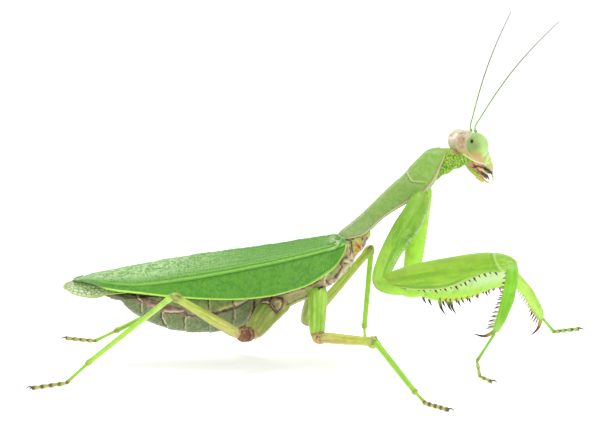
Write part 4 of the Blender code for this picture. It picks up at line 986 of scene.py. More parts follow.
# %% Shape and paint of the trunk
def trunk_grid(rows=560, columns=210):
    x = np.linspace(TRUNK[0][0], TRUNK[-1][0], rows)[:, None]
    angle = turn_of(columns)[None, :]
    low, high, wide = (curve(column(TRUNK, k), x) for k in (1, 2, 3))
    across = boxy(np.cos(angle), 0.92)
    upward = -boxy(np.sin(angle), 0.92)
    y = wide * across
    z = (low + high) / 2.0 + (high - low) / 2.0 * upward
    x = np.broadcast_to(x, y.shape)
    points = np.stack((x, y, np.minimum(z, under_wings(x, np.abs(y)))), axis=-1)
    z = points[..., 2]
    belly = ease((ABDOMEN_FROM - x) / 1.2)
    fold_z = curve(FLANK_FOLD, x)
    leaned = x - curve(BORDER_LEAN, x) * ease((fold_z - z) / 5.0)
    place = np.searchsorted(-np.array(PLATE_BORDERS), -leaned)
    fronts = np.array((FIRST_PLATE_FROM,) + PLATE_BORDERS)[place]
    backs = np.array(PLATE_BORDERS + (LAST_PLATE_TO,))[np.minimum(place, len(PLATE_BORDERS))]
    share = np.clip((fronts - leaned) / (fronts - backs), 0.0, 1.0)
    rim = bell((1.0 - share) * (fronts - backs) - 0.12, 0.14) * belly
    gap = bell(share * (fronts - backs), 0.12) * belly
    off_fold = z - fold_z + 0.3 * (share - 0.5) + 0.1 * wander(x * 2.3, 5)
    above = ease(off_fold * 3.0)
    soft = bell(off_fold, 0.45) * belly
    chest = ease((x - THORAX_TO) / 1.5)
    u, v = side_view(points)
    pads = patchy(u / 1.5 + v / 2.6, v / 1.3 - u / 2.4, 41)
    grit = patchy(u / 0.4, v / 0.25, 43)
    scratch = patchy((u + v) / 1.3, (u - v) / 0.35, 45)
    paint = layered(
        plain(x, (0.135, 0.195, 0.065)),
        (over(pads, 0.4, 3.0) * 0.7, (0.19, 0.245, 0.09)),
        (over(scratch, 0.58, 5.0) * 0.5, (0.3, 0.35, 0.17)),
        (under(scratch, 0.36, 5.0) * 0.5, (0.1, 0.15, 0.05)),
        (above, (0.13, 0.22, 0.05)),
        (above * over(pads, 0.45, 4.0) * 0.6, (0.27, 0.33, 0.07)),
        (above * bell(off_fold - 0.55, 0.3) * over(scratch, 0.35, 4.0) * 0.6, (0.44, 0.46, 0.13)),
        (soft * 0.55, (0.32, 0.2, 0.13)),
        (gap * 0.55, (0.09, 0.11, 0.04)),
        (rim * (1.0 - above) * 0.45, (0.44, 0.5, 0.27)),
        # Painted shade: the back plates above the fold darken toward the rear, as in the shadow under the
        # wing edge.
        (above * ease((-26.0 - x) / 3.0) * 0.95, (0.07, 0.075, 0.03)),
        (ease((-30.2 - x) / 2.0) * 0.75, (0.11, 0.125, 0.045)),
        (ease((-34.0 - x) / 1.0) * 0.7, (0.09, 0.06, 0.03)),
    )
    thorax = layered(
        plain(x, (0.38, 0.34, 0.13)),
        (over(pads, 0.5, 4.0) * 0.8, (0.52, 0.4, 0.24)),
        (under(pads, 0.42, 4.0) * 0.7, (0.31, 0.36, 0.1)),
        (over(scratch, 0.6, 5.0) * 0.5, (0.66, 0.6, 0.34)),
        (under(scratch, 0.36, 5.0) * 0.6, (0.26, 0.15, 0.1)),
    )
    paint = paint * (1.0 - chest[..., None]) + thorax * chest[..., None]
    paint, dents = drawn(paint, points, BELLY_MARKS)
    sides = ease((np.abs(across) - 0.1 - 0.25 * ease((x - 8.0) / 1.5)) * 5.0)
    paint, more = drawn(paint, points, FLANK_MARKS, sides)
    dents = np.maximum(dents, more)
    swell = PLATE_SWELL * share**1.4 * belly - 0.08 * gap
    height = swell - 0.1 * bell(off_fold, 0.13) * belly - 0.14 * dents + 0.05 * grit * belly
    height = height + (0.16 * pads + 0.1 * scratch) * chest + 0.05 * soft * scratch
    points = points + normals_of(points) * height[..., None]
    return grid(points, paint_marks(paint))


trunk_part = trunk_grid()
print("points on the trunk:", len(trunk_part["points"]))

# %% Finish and piece of the trunk
cuticle = Finish("trunk_cuticle", 0.45, coat=0.12, glow=0.06)
speckle = cuticle.noise(0.5, 5.0)
colour = cuticle.veil(cuticle.painted(), (0.5, 0.5, 0.28), 0.35, speckle, 0.5, 0.75)
colour = cuticle.veil(colour, (0.1, 0.08, 0.04), 0.35, cuticle.noise(0.8, 3.0), 0.52, 0.72)
trunk_finish = cuticle.done(colour, cuticle.sum("ADD", speckle, cuticle.noise(0.2, 2.0)), 0.04)
piece("trunk_skin", [trunk_part], trunk_finish, ["thorax", "abdomen"])

# %% [markdown]
# ## Tail feelers
# Two short ringed feelers stand at the end of the abdomen. They are strings of beads, so the radius
# swells once for each bead.

# %% Tubes along a path
def smooth_path(knots, rows):
    """Points on a smooth line through knots, and the share of the way at each."""
    knots = np.asarray(knots, float)
    steps = np.concatenate(((0.0,), np.cumsum(np.linalg.norm(np.diff(knots, axis=0), axis=1))))
    share = np.linspace(0.0, 1.0, rows)
    places = share * steps[-1]
    return np.stack([curve(list(zip(steps, knots[:, k])), places) for k in range(3)], axis=-1), share


def frames_of(path, hint):
    """Unit vectors along, across and in the depth of a path, carried on without a twist."""
    along = unit(np.gradient(path, axis=0))
    depth = np.empty_like(path)
    last = np.asarray(hint, float)
    for k, direction in enumerate(along):
        last = unit(last - direction * last.dot(direction))
        depth[k] = last
    return along, np.cross(depth, along), depth


def tube(knots, radii, rows=40, sides=16, hint=UPRIGHT, marks=None):
    """A round tube; radii are knots of share and radius."""
    path, share = smooth_path(knots, rows)
    _, across, depth = frames_of(path, hint)
    radius = radii(share) if callable(radii) else curve(radii, share)
    angle = turn_of(sides)
    ring = across[:, None] * np.cos(angle)[None, :, None] + depth[:, None] * np.sin(angle)[None, :, None]
    points = path[:, None] + ring * radius[:, None, None]
    kept = {"along": share[:, None]}
    for name, values in (marks or {}).items():
        kept[name] = np.asarray(values(share))[:, None]
    return grid(points, kept)


CERCUS = ((-35.2, 0.75, 12.7), (-36.4, 1.2, 12.4), (-37.6, 1.5, 12.3), (-38.8, 1.7, 12.3))
CERCUS_BEADS = 9


def bead_radius(share):
    swell = 0.9 + 0.14 * np.abs(np.sin(share * math.pi * CERCUS_BEADS))
    return curve(((0.0, 0.3), (0.35, 0.36), (0.8, 0.28), (1.0, 0.1)), share) * swell


bead = Finish("cercus_olive", 0.5, glow=0.05)
bead_colour = bead.mix(bead.mark("along"), (0.22, 0.28, 0.08), (0.2, 0.1, 0.05))
bead_finish = bead.done(bead_colour, bead.noise(0.2), 0.02)
for hand, side in ((-1, "right"), (1, "left")):
    path = [(x, y * hand, z) for x, y, z in CERCUS]
    beads = tube(path, bead_radius, 60, 20)
    piece("cercus_beads_" + side, [beads], bead_finish, ["cercus_" + side])

# %% [markdown]
# ## The shield and the neck
# The front of the thorax wears a long saddle, the pronotum. It is widest over the roots of the
# grasping legs, where a cross furrow marks it, and all round it runs a thin pale rim with fine
# teeth. A profile of a few points, smoothed and carried along the keel, gives the saddle; furrow,
# rim and grain are added as heights.

# %% Sizes of the shield
SHIELD_START = (6.0, 0.0, 22.4)
SHIELD_YAW, SHIELD_PITCH = 11.4, 40.0
# Share of the half width, and how far along the cross furrow lies there.
FURROW = ((0.0, 16.4), (0.4, 16.15), (0.64, 15.95), (0.76, 16.5), (0.87, 17.2), (1.0, 18.2))
# Distance along, height of the keel, depth of the margin, depth of the underside, half width.
SHIELD = (
    (0.0, 0.45, 0.0, 0.2, 1.3), (0.25, 0.7, 0.05, 0.3, 1.8), (1.0, 0.88, 0.4, 1.0, 2.3),
    (3.0, 0.78, 1.4, 2.2, 2.7), (5.2, 0.74, 1.6, 2.3, 2.7), (7.5, 0.8, 1.5, 2.2, 2.6),
    (10.0, 0.97, 1.8, 2.4, 2.6), (13.0, 1.12, 2.3, 2.9, 2.9), (15.8, 1.1, 2.8, 3.7, 3.4),
    (17.4, 1.25, 2.6, 3.7, 3.7), (19.3, 1.5, 2.2, 3.3, 3.5), (21.4, 1.6, 1.3, 2.5, 3.0),
    (22.8, 1.05, 0.7, 2.0, 2.6), (23.7, 0.4, 0.2, 1.6, 2.2),
)


def turned(yaw, pitch):
    """Unit vectors forward, left and up of a part that is turned and then raised."""
    yaw, pitch = math.radians(yaw), math.radians(pitch)
    level = np.array((math.cos(yaw), math.sin(yaw), 0.0))
    left = np.array((-math.sin(yaw), math.cos(yaw), 0.0))
    top = np.array(UPRIGHT)
    forward = level * math.cos(pitch) + top * math.sin(pitch)
    return forward, left, top * math.cos(pitch) - level * math.sin(pitch)


print("shield", SHIELD[-1][0], "mm long, raised by", SHIELD_PITCH, "degrees")

# %% Shape and finish of the shield
def shield_grid(rows=300, half=44):
    forward, left, up = turned(SHIELD_YAW, SHIELD_PITCH)
    along = np.linspace(0.0, SHIELD[-1][0], rows)[:, None]
    keel, margin, sole, wide = (curve(column(SHIELD, k), along) for k in (1, 2, 3, 4))
    step = np.linspace(0.0, 8.0, half)
    height = keel + margin
    knots = (
        (0.0, keel), (0.35, keel - height * 0.09), (0.68, keel - height * 0.38),
        (0.9, keel - height * 0.74), (1.0, -margin), (0.94, -margin - 0.28),
        (0.72, -margin - (sole - margin) * 0.45),
        (0.42, -sole * 0.97), (0.0, -sole),
    )
    share = curve([(k, knot[0]) for k, knot in enumerate(knots)], step)[None, :] + 0.0 * along
    level = np.empty((rows, half))
    for i in range(rows):
        level[i] = curve([(k, knot[1][i, 0]) for k, knot in enumerate(knots)], step)
    step = np.concatenate((step, step[-2:0:-1]))[None, :] + 0.0 * along
    share = np.concatenate((share, -share[:, -2:0:-1]), axis=1)
    level = np.concatenate((level, level[:, -2:0:-1]), axis=1)
    points = np.array(SHIELD_START) + forward * along[..., None] - left * (share * wide)[..., None]
    points = points + up * level[..., None]
    out = np.abs(share)
    furrow_at = curve(FURROW, out)
    seen = under(out, 0.95, 9.0) * under(step, 4.2, 2.0)
    furrow = bell(along - furrow_at, 0.13) * seen
    # A dip just behind the cross furrow: sunk into the relief, and painted dark below as its shade.
    shaded_dip = bell(along - furrow_at + 0.3, 0.2) * seen
    lobe = bell(along - furrow_at - 1.6, 1.1) * ease((3.4 - step) / 2.0)
    rim = bell(step - 4.0, 0.22)
    line = bell(step - 3.6, 0.14)
    keel_line = bell(share * wide, 0.14) * under(step, 2.0, 3.0)
    notches = np.maximum(np.sin(along * 9.0 + wander(along * 2.0, 3)), 0.0)
    teeth = rim * 0.09 * notches * ease((along - 9.0) / 4.0)
    upper = under(step, 4.0, 2.0)
    mottle = patchy(along / 0.8, share * wide / 0.5, 21)
    haze = patchy(along / 2.6, share * wide / 1.4, 22)
    raised = -0.1 * shaded_dip + 0.05 * furrow + 0.1 * lobe + 0.1 * rim - 0.06 * line + teeth + 0.05 * keel_line
    raised = raised + upper * (0.035 * mottle + 0.018 * wander(along * 7.0 + share * 9.0, 17))
    points = points + normals_of(points) * raised[..., None]
    way = along / SHIELD[-1][0] + 0.0 * step
    forward_share = np.clip((way - 0.3) * 3.0, 0.0, 1.0)[..., None]
    mauve = np.array((0.34, 0.17, 0.2)) + forward_share * np.array((-0.02, 0.07, -0.1))
    paint = layered(
        plain(step, (0.24, 0.43, 0.075)),
        (over(haze, 0.35, 2.5) * 0.7, (0.32, 0.49, 0.12)),
        (over(way, 0.66, 8.0) * 0.7, (0.26, 0.5, 0.055)),
        (ease((0.45 - way) / 0.4) * 0.7, (0.26, 0.38, 0.13)),
        (over(mottle, 0.6, 5.0) * 0.25, (0.42, 0.58, 0.22)),
        (under(mottle, 0.36, 5.0) * 0.3, (0.15, 0.3, 0.05)),
        (bell(step - 1.9, 0.8) * bell(way - 0.45, 0.22) * 0.35, (0.17, 0.36, 0.03)),
        # Painted shade: a dark band in the dip just behind the cross furrow.
        (shaded_dip * 0.75, (0.14, 0.26, 0.03)),
        (furrow * 0.95, (0.6, 0.72, 0.34)),
        (keel_line * 0.6, (0.4, 0.31, 0.2)),
        (line * 0.85, mauve),
    )
    cream = np.array((0.7, 0.7, 0.34)) + 0.0 * paint
    cream = tinted(cream, over(haze, 0.5, 3.0) * 0.6, (0.64, 0.48, 0.28))
    paint = layered(
        paint,
        (rim, cream),
        (over(step, 4.35, 3.0), (0.25, 0.38, 0.09)),
    )
    return grid(points, paint_marks(paint))


sage = Finish("shield_sage", 0.42, coat=0.15, glow=0.1)
tone = sage.veil(sage.painted(), (0.46, 0.6, 0.27), 0.3, sage.noise(0.35, 4.0), 0.45, 0.75)
shield_finish = sage.done(tone, sage.noise(0.25, 3.0), 0.025)
piece("pronotum_shield", [shield_grid()], shield_finish, ["pronotum"])

# %% [markdown]
# Between shield and head lies the neck, a sleeve of soft skin set with small warts. A tube with
# rounded bumps from the cell pattern stands for it, and it runs on under the rim of the shield.

# %% Neck
NECK = ((19.6, 2.8, 32.9), (21.7, 3.2, 34.3), (24.4, 3.8, 35.6), (27.4, 4.4, 36.6), (28.8, 4.7, 37.2))
path, share = smooth_path(NECK, 130)
along, across, depth = frames_of(path, UPRIGHT)
angle = turn_of(110)
radius = curve(((0.0, 1.9), (0.3, 2.05), (0.6, 1.9), (1.0, 1.5)), share)[:, None]
wart_u = share[:, None] * 17.0 + 0.3 * wander(angle * 3.0, 24)[None, :]
wart_v = angle[None, :] * 4.0 + 0.3 * wander(share * 20.0, 26)[:, None]
warts = 1.0 - net(wart_u, wart_v, 23)
folds = 0.12 * np.sin(share[:, None] * 26.0 + 1.2 * np.sin(angle * 3.0)[None, :])
ring = across[:, None] * np.cos(angle)[None, :, None] + depth[:, None] * np.sin(angle)[None, :, None]
u, v = side_view(path[:, None] + ring * radius[..., None])
smooth = over(v, 35.9, 2.0) * over(u, 23.8, 1.2)
reach = radius + 0.26 * warts * (1.0 - 0.7 * smooth) + folds
skin = path[:, None] + ring * reach[..., None]
u, v = side_view(skin)
# Painted shade and highlight: the skin between the warts keeps a dark base as if in shade, the warts are
# bright green, and some wart tops carry pale painted highlights.
neck_paint = layered(
    plain(warts, (0.11, 0.27, 0.015)),
    (over(warts, 0.22, 2.0), (0.36, 0.74, 0.03)),
    # Painted highlight on some wart tops.
    (
        over(warts, 0.75, 5.0) * over(patchy(u / 0.35, v / 0.35, 25, 1), 0.5, 3.0) * 0.6,
        (0.6, 0.78, 0.2),
    ),
    (under(patchy(u / 0.6, v / 0.6, 28), 0.4, 5.0) * 0.6, (0.06, 0.17, 0.01)),
    (smooth * 0.7, (0.36, 0.5, 0.08)),
    (smooth * over(patchy(u / 0.7, v / 1.4, 29), 0.5, 4.0) * 0.6, (0.52, 0.58, 0.18)),
    (stroke(u, v, 0.55, (25.9, 37.4), (26.4, 36.4)), (0.42, 0.27, 0.1)),
    (over(patchy(u / 0.9, v / 0.9, 27), 0.62, 5.0) * 0.5, (0.42, 0.48, 0.14)),
)
neck_part = grid(skin, paint_marks(neck_paint))
sleeve = Finish("neck_green", 0.45, coat=0.1, glow=0.1)
sleeve_tone = sleeve.veil(sleeve.painted(), (0.3, 0.48, 0.08), 0.3, sleeve.noise(0.3, 3.0))
neck_finish = sleeve.done(sleeve_tone, sleeve.noise(0.2), 0.03)
piece("neck_sleeve", [neck_part], neck_finish, ["neck"])

# %% [markdown]
# ## The head
# The head is a blunt triangle that tapers from the eyes to the mouth. Its frame of three vectors
# looks forward and a little away to the left. Colours are painted by place: each point of the skin is
# turned into a flat coordinate on the near side (u along, v upward, in millimetres), so a stripe or a
# spot is a distance to a short line. The far side mirrors the near one.

# %% Sizes of the head
HEAD_CENTRE = np.array((28.3, 4.6, 38.75))
HEAD_YAW, HEAD_TILT = 25.0, 58.1
# Where the head's middle appears in the view, in mm from the middle of the view.
HEAD_IN_VIEW = (28.14, 14.21)
# Height, half width, reach to the front, reach to the back.
HEAD = (
    (2.42, 0.6, -0.3, 0.9), (2.35, 1.3, 0.0, 1.3), (2.05, 2.4, 0.8, 2.2), (1.2, 3.3, 1.6, 2.8),
    (0.0, 3.5, 2.1, 2.8), (-1.5, 3.2, 2.4, 2.4), (-3.0, 2.5, 2.5, 1.7), (-4.3, 1.9, 2.4, 0.9),
    (-5.4, 1.5, 2.2, 0.0), (-6.3, 1.25, 2.0, -0.8), (-7.2, 0.7, 1.6, -1.0),
)
yaw, tilt = math.radians(HEAD_YAW), math.radians(HEAD_TILT)
level = np.array((math.cos(yaw), math.sin(yaw), 0.0))
HEAD_LEFT = np.array((-math.sin(yaw), math.cos(yaw), 0.0))
HEAD_FORWARD = level * math.sin(tilt) + np.array((0.0, 0.0, math.cos(tilt)))
HEAD_UP = np.array((0.0, 0.0, math.sin(tilt))) - level * math.cos(tilt)


def head_point(aside, ahead, above):
    """Points of the head's own frame, in the frame of the body."""
    aside, ahead, above = (np.asarray(value, float)[..., None] for value in (aside, ahead, above))
    return HEAD_CENTRE + HEAD_LEFT * aside + HEAD_FORWARD * ahead + HEAD_UP * above


def seen_from_camera(points):
    """Place u, v of points in the picture, in mm from the middle of the head."""
    off = points - np.array(VIEW_CENTRE)
    shrink = VIEW_DISTANCE / (VIEW_DISTANCE + off[..., 1] * math.cos(drop) - off[..., 2] * math.sin(drop))
    height = off[..., 2] * math.cos(drop) + off[..., 1] * math.sin(drop)
    return off[..., 0] * shrink - HEAD_IN_VIEW[0], height * shrink - HEAD_IN_VIEW[1]


def flat_place(aside, ahead, above):
    """Coordinates u and v on the near side of the head, mirrored for the far cheek."""
    mirrored = np.where(ahead > -1.6, -np.abs(aside), aside)
    return seen_from_camera(head_point(mirrored, ahead, above))


cheek = flat_place(-3.0, 1.0, 0.0)
print("a point on the near cheek appears at", [round(float(place), 2) for place in cheek])

# %% Shape and paint of the head
def head_grid(rows=210, columns=200):
    step = np.linspace(0.0, 1.0, rows)
    above = (HEAD[0][0] + (HEAD[-1][0] - HEAD[0][0]) * (0.55 * step + 0.45 * step**2))[:, None]
    wide, front, back = (curve(column(HEAD, k), above) for k in (1, 2, 3))
    angle = turn_of(columns)[None, :]
    c = boxy(np.cos(angle), 0.9)
    s = boxy(np.sin(angle), 0.9)
    aside, ahead = wide * c, (front - back) / 2.0 + (front + back) / 2.0 * s
    above = above + 0.0 * aside
    u, v = flat_place(aside, ahead, above)
    face = ease((ahead - 0.6) / 0.8)
    grooves = np.zeros_like(u)
    for line in (0.85, 1.75, 2.5):
        grooves = np.maximum(grooves, bell(np.abs(aside) - line - 0.1 * (above - 1.0), 0.13))
    grooves = grooves * (1.0 - face) * ease((above + 0.4) / 0.8)
    cheek_edge = stroke(
        u, v, 0.15, (-0.58, -2.12), (0.4, -2.78), (1.36, -3.31), (2.3, -3.63), (2.9, -3.78), (3.4, -4.1)
    )
    shade_edge = stroke(u, v, 0.14, (-0.5, -2.45), (0.4, -3.08), (1.36, -3.62), (2.3, -3.92))
    brow = stroke(u, v, 0.2, (-1.9, 2.0), (0.4, 2.12))
    cross = bell(above + 4.35 + 0.25 * (aside / 1.9) ** 2, 0.09) * face
    middle = bell(aside, 0.08) * face * ease((above + 0.5) / 1.5)
    plate = bell(above + 2.0 - 0.3 * np.abs(aside), 0.1) * face * (np.abs(aside) < 1.5)
    rise = 0.1 * cheek_edge - 0.1 * shade_edge + 0.07 * brow - 0.12 * grooves - 0.1 * cross - 0.07 * middle
    rise = rise - 0.07 * plate + 0.02 * wander(u * 6.0 + v * 5.0, 51)
    points = head_point(aside, ahead, above)
    points = points + normals_of(points) * rise[..., None]
    right = 0.8 * ease((u - 3.75 + np.clip(-1.7 - v, 0.0, 3.0) * 0.42) * 2.5) * ease((-1.0 - v) * 2.0)
    paint = layered(
        plain(u, (0.68, 0.61, 0.37)),
        (ease((v + 0.3) / 1.6) * ease((-0.4 - u) / 1.5) * 1.1, (0.94, 0.92, 0.66)),
        (grooves * 0.5, (0.5, 0.49, 0.24)),
        (
            (bell(u + 3.45, 0.14) + bell(u + 2.85, 0.1) * 0.6) * 0.7 * ease((v + 0.6) * 2.0),
            (0.46, 0.52, 0.16),
        ),
        (stroke(u, v, 0.3, (-2.3, 1.6), (-2.3, -0.6)) * 0.6, (0.6, 0.42, 0.44)),
        (stroke(u, v, 0.75, (-1.2, 0.8), (-0.9, -0.8)) * 0.9, (0.45, 0.28, 0.15)),
        (stroke(u, v, 0.3, (-0.8, 1.0), (-0.55, 0.3)) * 0.8, (0.33, 0.15, 0.06)),
        (brow, (0.78, 0.74, 0.42)),
        (stroke(u, v, 0.16, (-1.75, 1.5), (-0.3, 1.68)) * 0.9 * (aside < -0.4), (0.27, 0.17, 0.24)),
        (stroke(u, v, 0.2, (-1.12, -0.38), (-1.08, -0.42)), (0.8, 0.32, 0.2)),
        (ease((-1.2 - v) / 0.7) * (1.0 - face), (0.52, 0.48, 0.12)),
        (stroke(u, v, 0.7, (0.2, -1.7), (2.4, -2.6)) * (1.0 - face) * 0.8, (0.66, 0.36, 0.14)),
        (face * ease((1.6 - above) / 1.4), (0.47, 0.74, 0.17)),
        (face * ease((above - 1.2) / 0.8), (0.6, 0.72, 0.35)),
        (right, (0.7, 0.93, 0.28)),
        (np.maximum(cross, plate) * 0.7, (0.22, 0.4, 0.06)),
        (face * ease((-4.5 - above) / 0.8) * 0.7, (0.58, 0.68, 0.12)),
        (ease((-3.3 - v) / 0.5) * ease((2.4 - u) / 1.0) * (1.0 - face), (0.56, 0.22, 0.14)),
        (cheek_edge, (0.82, 0.86, 0.52)),
        (stroke(u, v, 0.13, (-2.0, 1.85), (0.0, 2.12)) * 0.8 * (aside < -0.4), (0.95, 0.93, 0.82)),
        (stroke(u, v, 0.1, (-1.9, 2.15), (0.1, 2.4)) * 0.7 * (aside < -0.4), (0.42, 0.46, 0.34)),
        (stroke(u, v, 0.09, (3.75, -1.5), (4.35, -3.0)) * 0.6, (0.12, 0.36, 0.03)),
        (shade_edge * 0.8, (0.16, 0.13, 0.03)),
    )
    return grid(points, paint_marks(paint))


shell = Finish("head_shell", 0.35, coat=0.3, glow=0.15)
shell_tone = shell.mix(shell.range(shell.noise(0.5, 4.0), 0.35, 0.75), shell.painted(), (0.75, 0.68, 0.45))
shell_tone = shell.mix(0.35, shell.painted(), shell_tone)
head_finish = shell.done(shell_tone, shell.noise(0.18, 3.0), 0.015)
piece("head_capsule", [head_grid()], head_finish, ["head"])

# %% [markdown]
# ## The eyes
# A mantis eye is a clear shell over thousands of facets. Its dark spot, the pseudopupil, is where
# the facets look straight at the viewer. The rest runs from grey-green to a bright yellow-green in
# front and orange below, with a whitish painted highlight on its upper left. A glossy coat over the
# painted egg gives the wet look; the facets are a fine cell relief.

# %% Eyes
EYE_SIDE = 3.5
# Ahead, above, and radii forward, outward and upward. The far one is drawn a little smaller.
EYES = {-1: (0.02, -0.32, (2.05, 1.6, 2.5)), 1: (0.2, -0.15, (1.9, 1.4, 2.0))}
EYE_LEAN = 0.22
eye_glass = Finish("eye_glass", 0.25, coat=0.1, glow=0.15)
facets = eye_glass.cells(0.09)
eye_tone = eye_glass.veil(eye_glass.painted(), (0.62, 0.8, 0.45), 0.05, facets)
eye_finish = eye_glass.done(eye_tone, facets, 0.006)


def eye_grid(hand, rows=140, columns=180):
    tilted = unit(HEAD_UP + HEAD_LEFT * (EYE_LEAN * hand))
    outward = unit(np.cross(HEAD_FORWARD, tilted))
    polar = np.linspace(0.02, math.pi - 0.02, rows)[:, None]
    angle = turn_of(columns)[None, :]
    a, b, c = np.sin(polar) * np.cos(angle), np.sin(polar) * np.sin(angle), np.cos(polar) + 0.0 * angle
    ahead, above, radii = EYES[hand]
    centre = head_point(EYE_SIDE * hand, ahead, above)
    points = centre + HEAD_FORWARD * (a * radii[0])[..., None] + outward * (b * radii[1])[..., None]
    points = points + tilted * (c * radii[2])[..., None]
    off = points - HEAD_CENTRE
    u, v = flat_place(off @ HEAD_LEFT, np.maximum(off @ HEAD_FORWARD, -1.59), off @ HEAD_UP)
    paint = layered(
        plain(u, (0.31, 0.47, 0.15)),
        (ease((u - 1.0) / 2.0) * 0.9, (0.54, 0.84, 0.26)),
        (bell(np.hypot((u - 1.5) / 1.2, v + 0.75), 0.8) * 0.8, (0.25, 0.32, 0.075)),
        (
            bell(np.hypot(u - 0.9, (v - 0.2) / 1.2) - 1.5, 0.22) * under(u, 1.4, 1.2) * 0.35,
            (0.2, 0.34, 0.14),
        ),
        (ease((v - 0.9) / 0.9) * 0.5, (0.4, 0.66, 0.28)),
        # Painted highlight: a whitish streak up the upper left of the eye.
        (stroke(u, v, 0.2, (-0.2, -0.2), (-0.15, 0.8), (0.6, 1.5)) * 0.7, (0.66, 0.78, 0.46)),
        (ease((-1.35 - v) / 0.8) * under(u, 3.2, 1.0), (0.5, 0.39, 0.08)),
        (stroke(u, v, 0.4, (0.5, -1.9), (1.6, -2.6)) * 0.6, (0.62, 0.36, 0.12)),
        (stroke(u, v, 0.26, (2.0, -2.35), (2.05, -2.45)) * 0.9, (0.72, 0.3, 0.22)),
    )
    toward_middle = -hand * (off @ HEAD_LEFT - EYE_SIDE * hand) / radii[1]
    cream = tinted(plain(u, (0.78, 0.74, 0.54)), bell(np.sin(u * 7.0), 0.5) * 0.35, (0.56, 0.6, 0.3))
    back = ease((toward_middle + 0.35 + 0.15 * hand) * 3.0) * ease((0.65 + 0.2 * hand - a) * 2.5)
    paint = paint * (1.0 - back[..., None]) + cream * back[..., None]
    paint = layered(
        paint,
        (bell(np.hypot(u - 0.85, v - 0.12), 0.45) * 0.7, (0.3, 0.33, 0.07)),
        (ease(1.8 - np.hypot((u - 0.88) / 0.2, (v - 0.18) / 0.29)), (0.0015, 0.002, 0.0015)),
    )
    return grid(points, paint_marks(paint))


for hand, side in ((-1, "right"), (1, "left")):
    piece("eye_ball_" + side, [eye_grid(hand)], eye_finish, ["eye_" + side])

# %% [markdown]
# ## The mouth
# Below the face hang the jaws: two toothed mandibles, two softer maxillae with jointed palps, and
# the lower lip with its own palps. They are thin tubes along short curves, red-brown to pink at the
# root and black at the biting tips; the palps are yellow and beaded.

# %% Mouth parts
MANDIBLE = (
    (0.8, 0.6, -4.2, 0.5), (1.1, 0.7, -5.3, 0.55), (1.05, 0.95, -6.5, 0.42), (0.4, 1.05, -7.6, 0.07),
)
MAXILLA = (
    (1.1, -0.7, -3.0, 0.55), (1.15, -0.5, -5.0, 0.5), (0.95, -0.2, -6.8, 0.36), (0.45, 0.1, -8.1, 0.06),
)
MAXILLA_PALP = (
    (1.2, -0.6, -4.6, 0.2), (1.9, 0.0, -5.7, 0.17), (1.95, 0.45, -6.9, 0.16), (1.8, 0.15, -8.1, 0.1),
)
LABIUM = ((0.0, -1.6, -2.4, 0.85), (0.0, -1.5, -4.6, 0.75), (0.0, -1.15, -6.2, 0.6), (0.0, -0.8, -7.3, 0.3))
LABIUM_PALP = ((0.5, -1.3, -5.8, 0.22), (1.1, -1.1, -7.1, 0.2), (1.0, -0.5, -8.4, 0.12))


# Fine marks around the mouth, as rows of width, colour, strength and course.
MOUTH_MARKS = (
    (0.25, (0.72, 0.26, 0.2), 0.9, 0.72, -3.92, 1.82, -4.31),
    (0.1, (0.5, 0.06, 0.12), 0.9, 0.53, -4.31, 1.19, -4.42),
    (0.12, (0.85, 0.66, 0.48), 0.9, 1.58, -4.58, 3.0, -4.89),
    (0.15, (0.1, 0.01, 0.045), 1.0, 1.19, -4.36, 1.98, -4.15, 2.92, -4.48, 3.7, -4.83),
    (0.2, (0.008, 0.003, 0.006), 1.0, 3.17, -4.64, 3.86, -4.98, 4.36, -5.42),
    (0.11, (0.75, 0.03, 0.02), 1.0, 2.45, -5.2),
    (0.22, (0.01, 0.004, 0.01), 1.0, 2.7, -5.27, 3.15, -5.58, 3.67, -6.12),
    (0.1, (0.92, 0.88, 0.55), 0.95, 2.86, -5.05, 3.92, -5.74),
    (0.1, (0.92, 0.86, 0.48), 0.95, 2.29, -5.52, 3.26, -6.46),
    (0.12, (0.8, 0.62, 0.09), 0.9, 1.94, -5.46, 2.6, -6.3, 3.39, -6.7, 4.57, -6.89),
    (0.06, (0.6, 0.14, 0.04), 0.8, 2.29, -5.99, 3.04, -6.59),
    (0.12, (0.33, 0.62, 0.04), 0.9, 0.72, -5.02, 1.35, -5.17, 1.82, -5.64),
    (0.1, (0.12, 0.28, 0.02), 0.7, 1.03, -4.78, 1.98, -5.36),
)


def mouth_part(knots, hand, colours, beads=0, rows=60, sides=30):
    """A tube in the frame of the head, painted along its length."""
    path = [head_point(aside * hand, ahead, above) for aside, ahead, above, _ in knots]
    steps = np.linspace(0.0, 1.0, len(knots))
    radii = [(share, knot[3]) for share, knot in zip(steps, knots)]

    def thickness(share):
        swell = 1.0 + (0.22 * np.abs(np.sin(share * math.pi * beads)) - 0.1 if beads else 0.0)
        return curve(radii, share) * swell

    part = tube(path, thickness, rows, sides, HEAD_FORWARD, colour_marks(colours))
    u, v = seen_from_camera(part["points"])
    paint = np.stack([part["marks"][name] for name in PAINT], axis=-1)
    for width, colour, amount, *course in MOUTH_MARKS:
        paint = tinted(paint, stroke(u, v, width, *pairs(course)) * amount * 1.3, colour)
    part["marks"].update(paint_marks(paint))
    return part


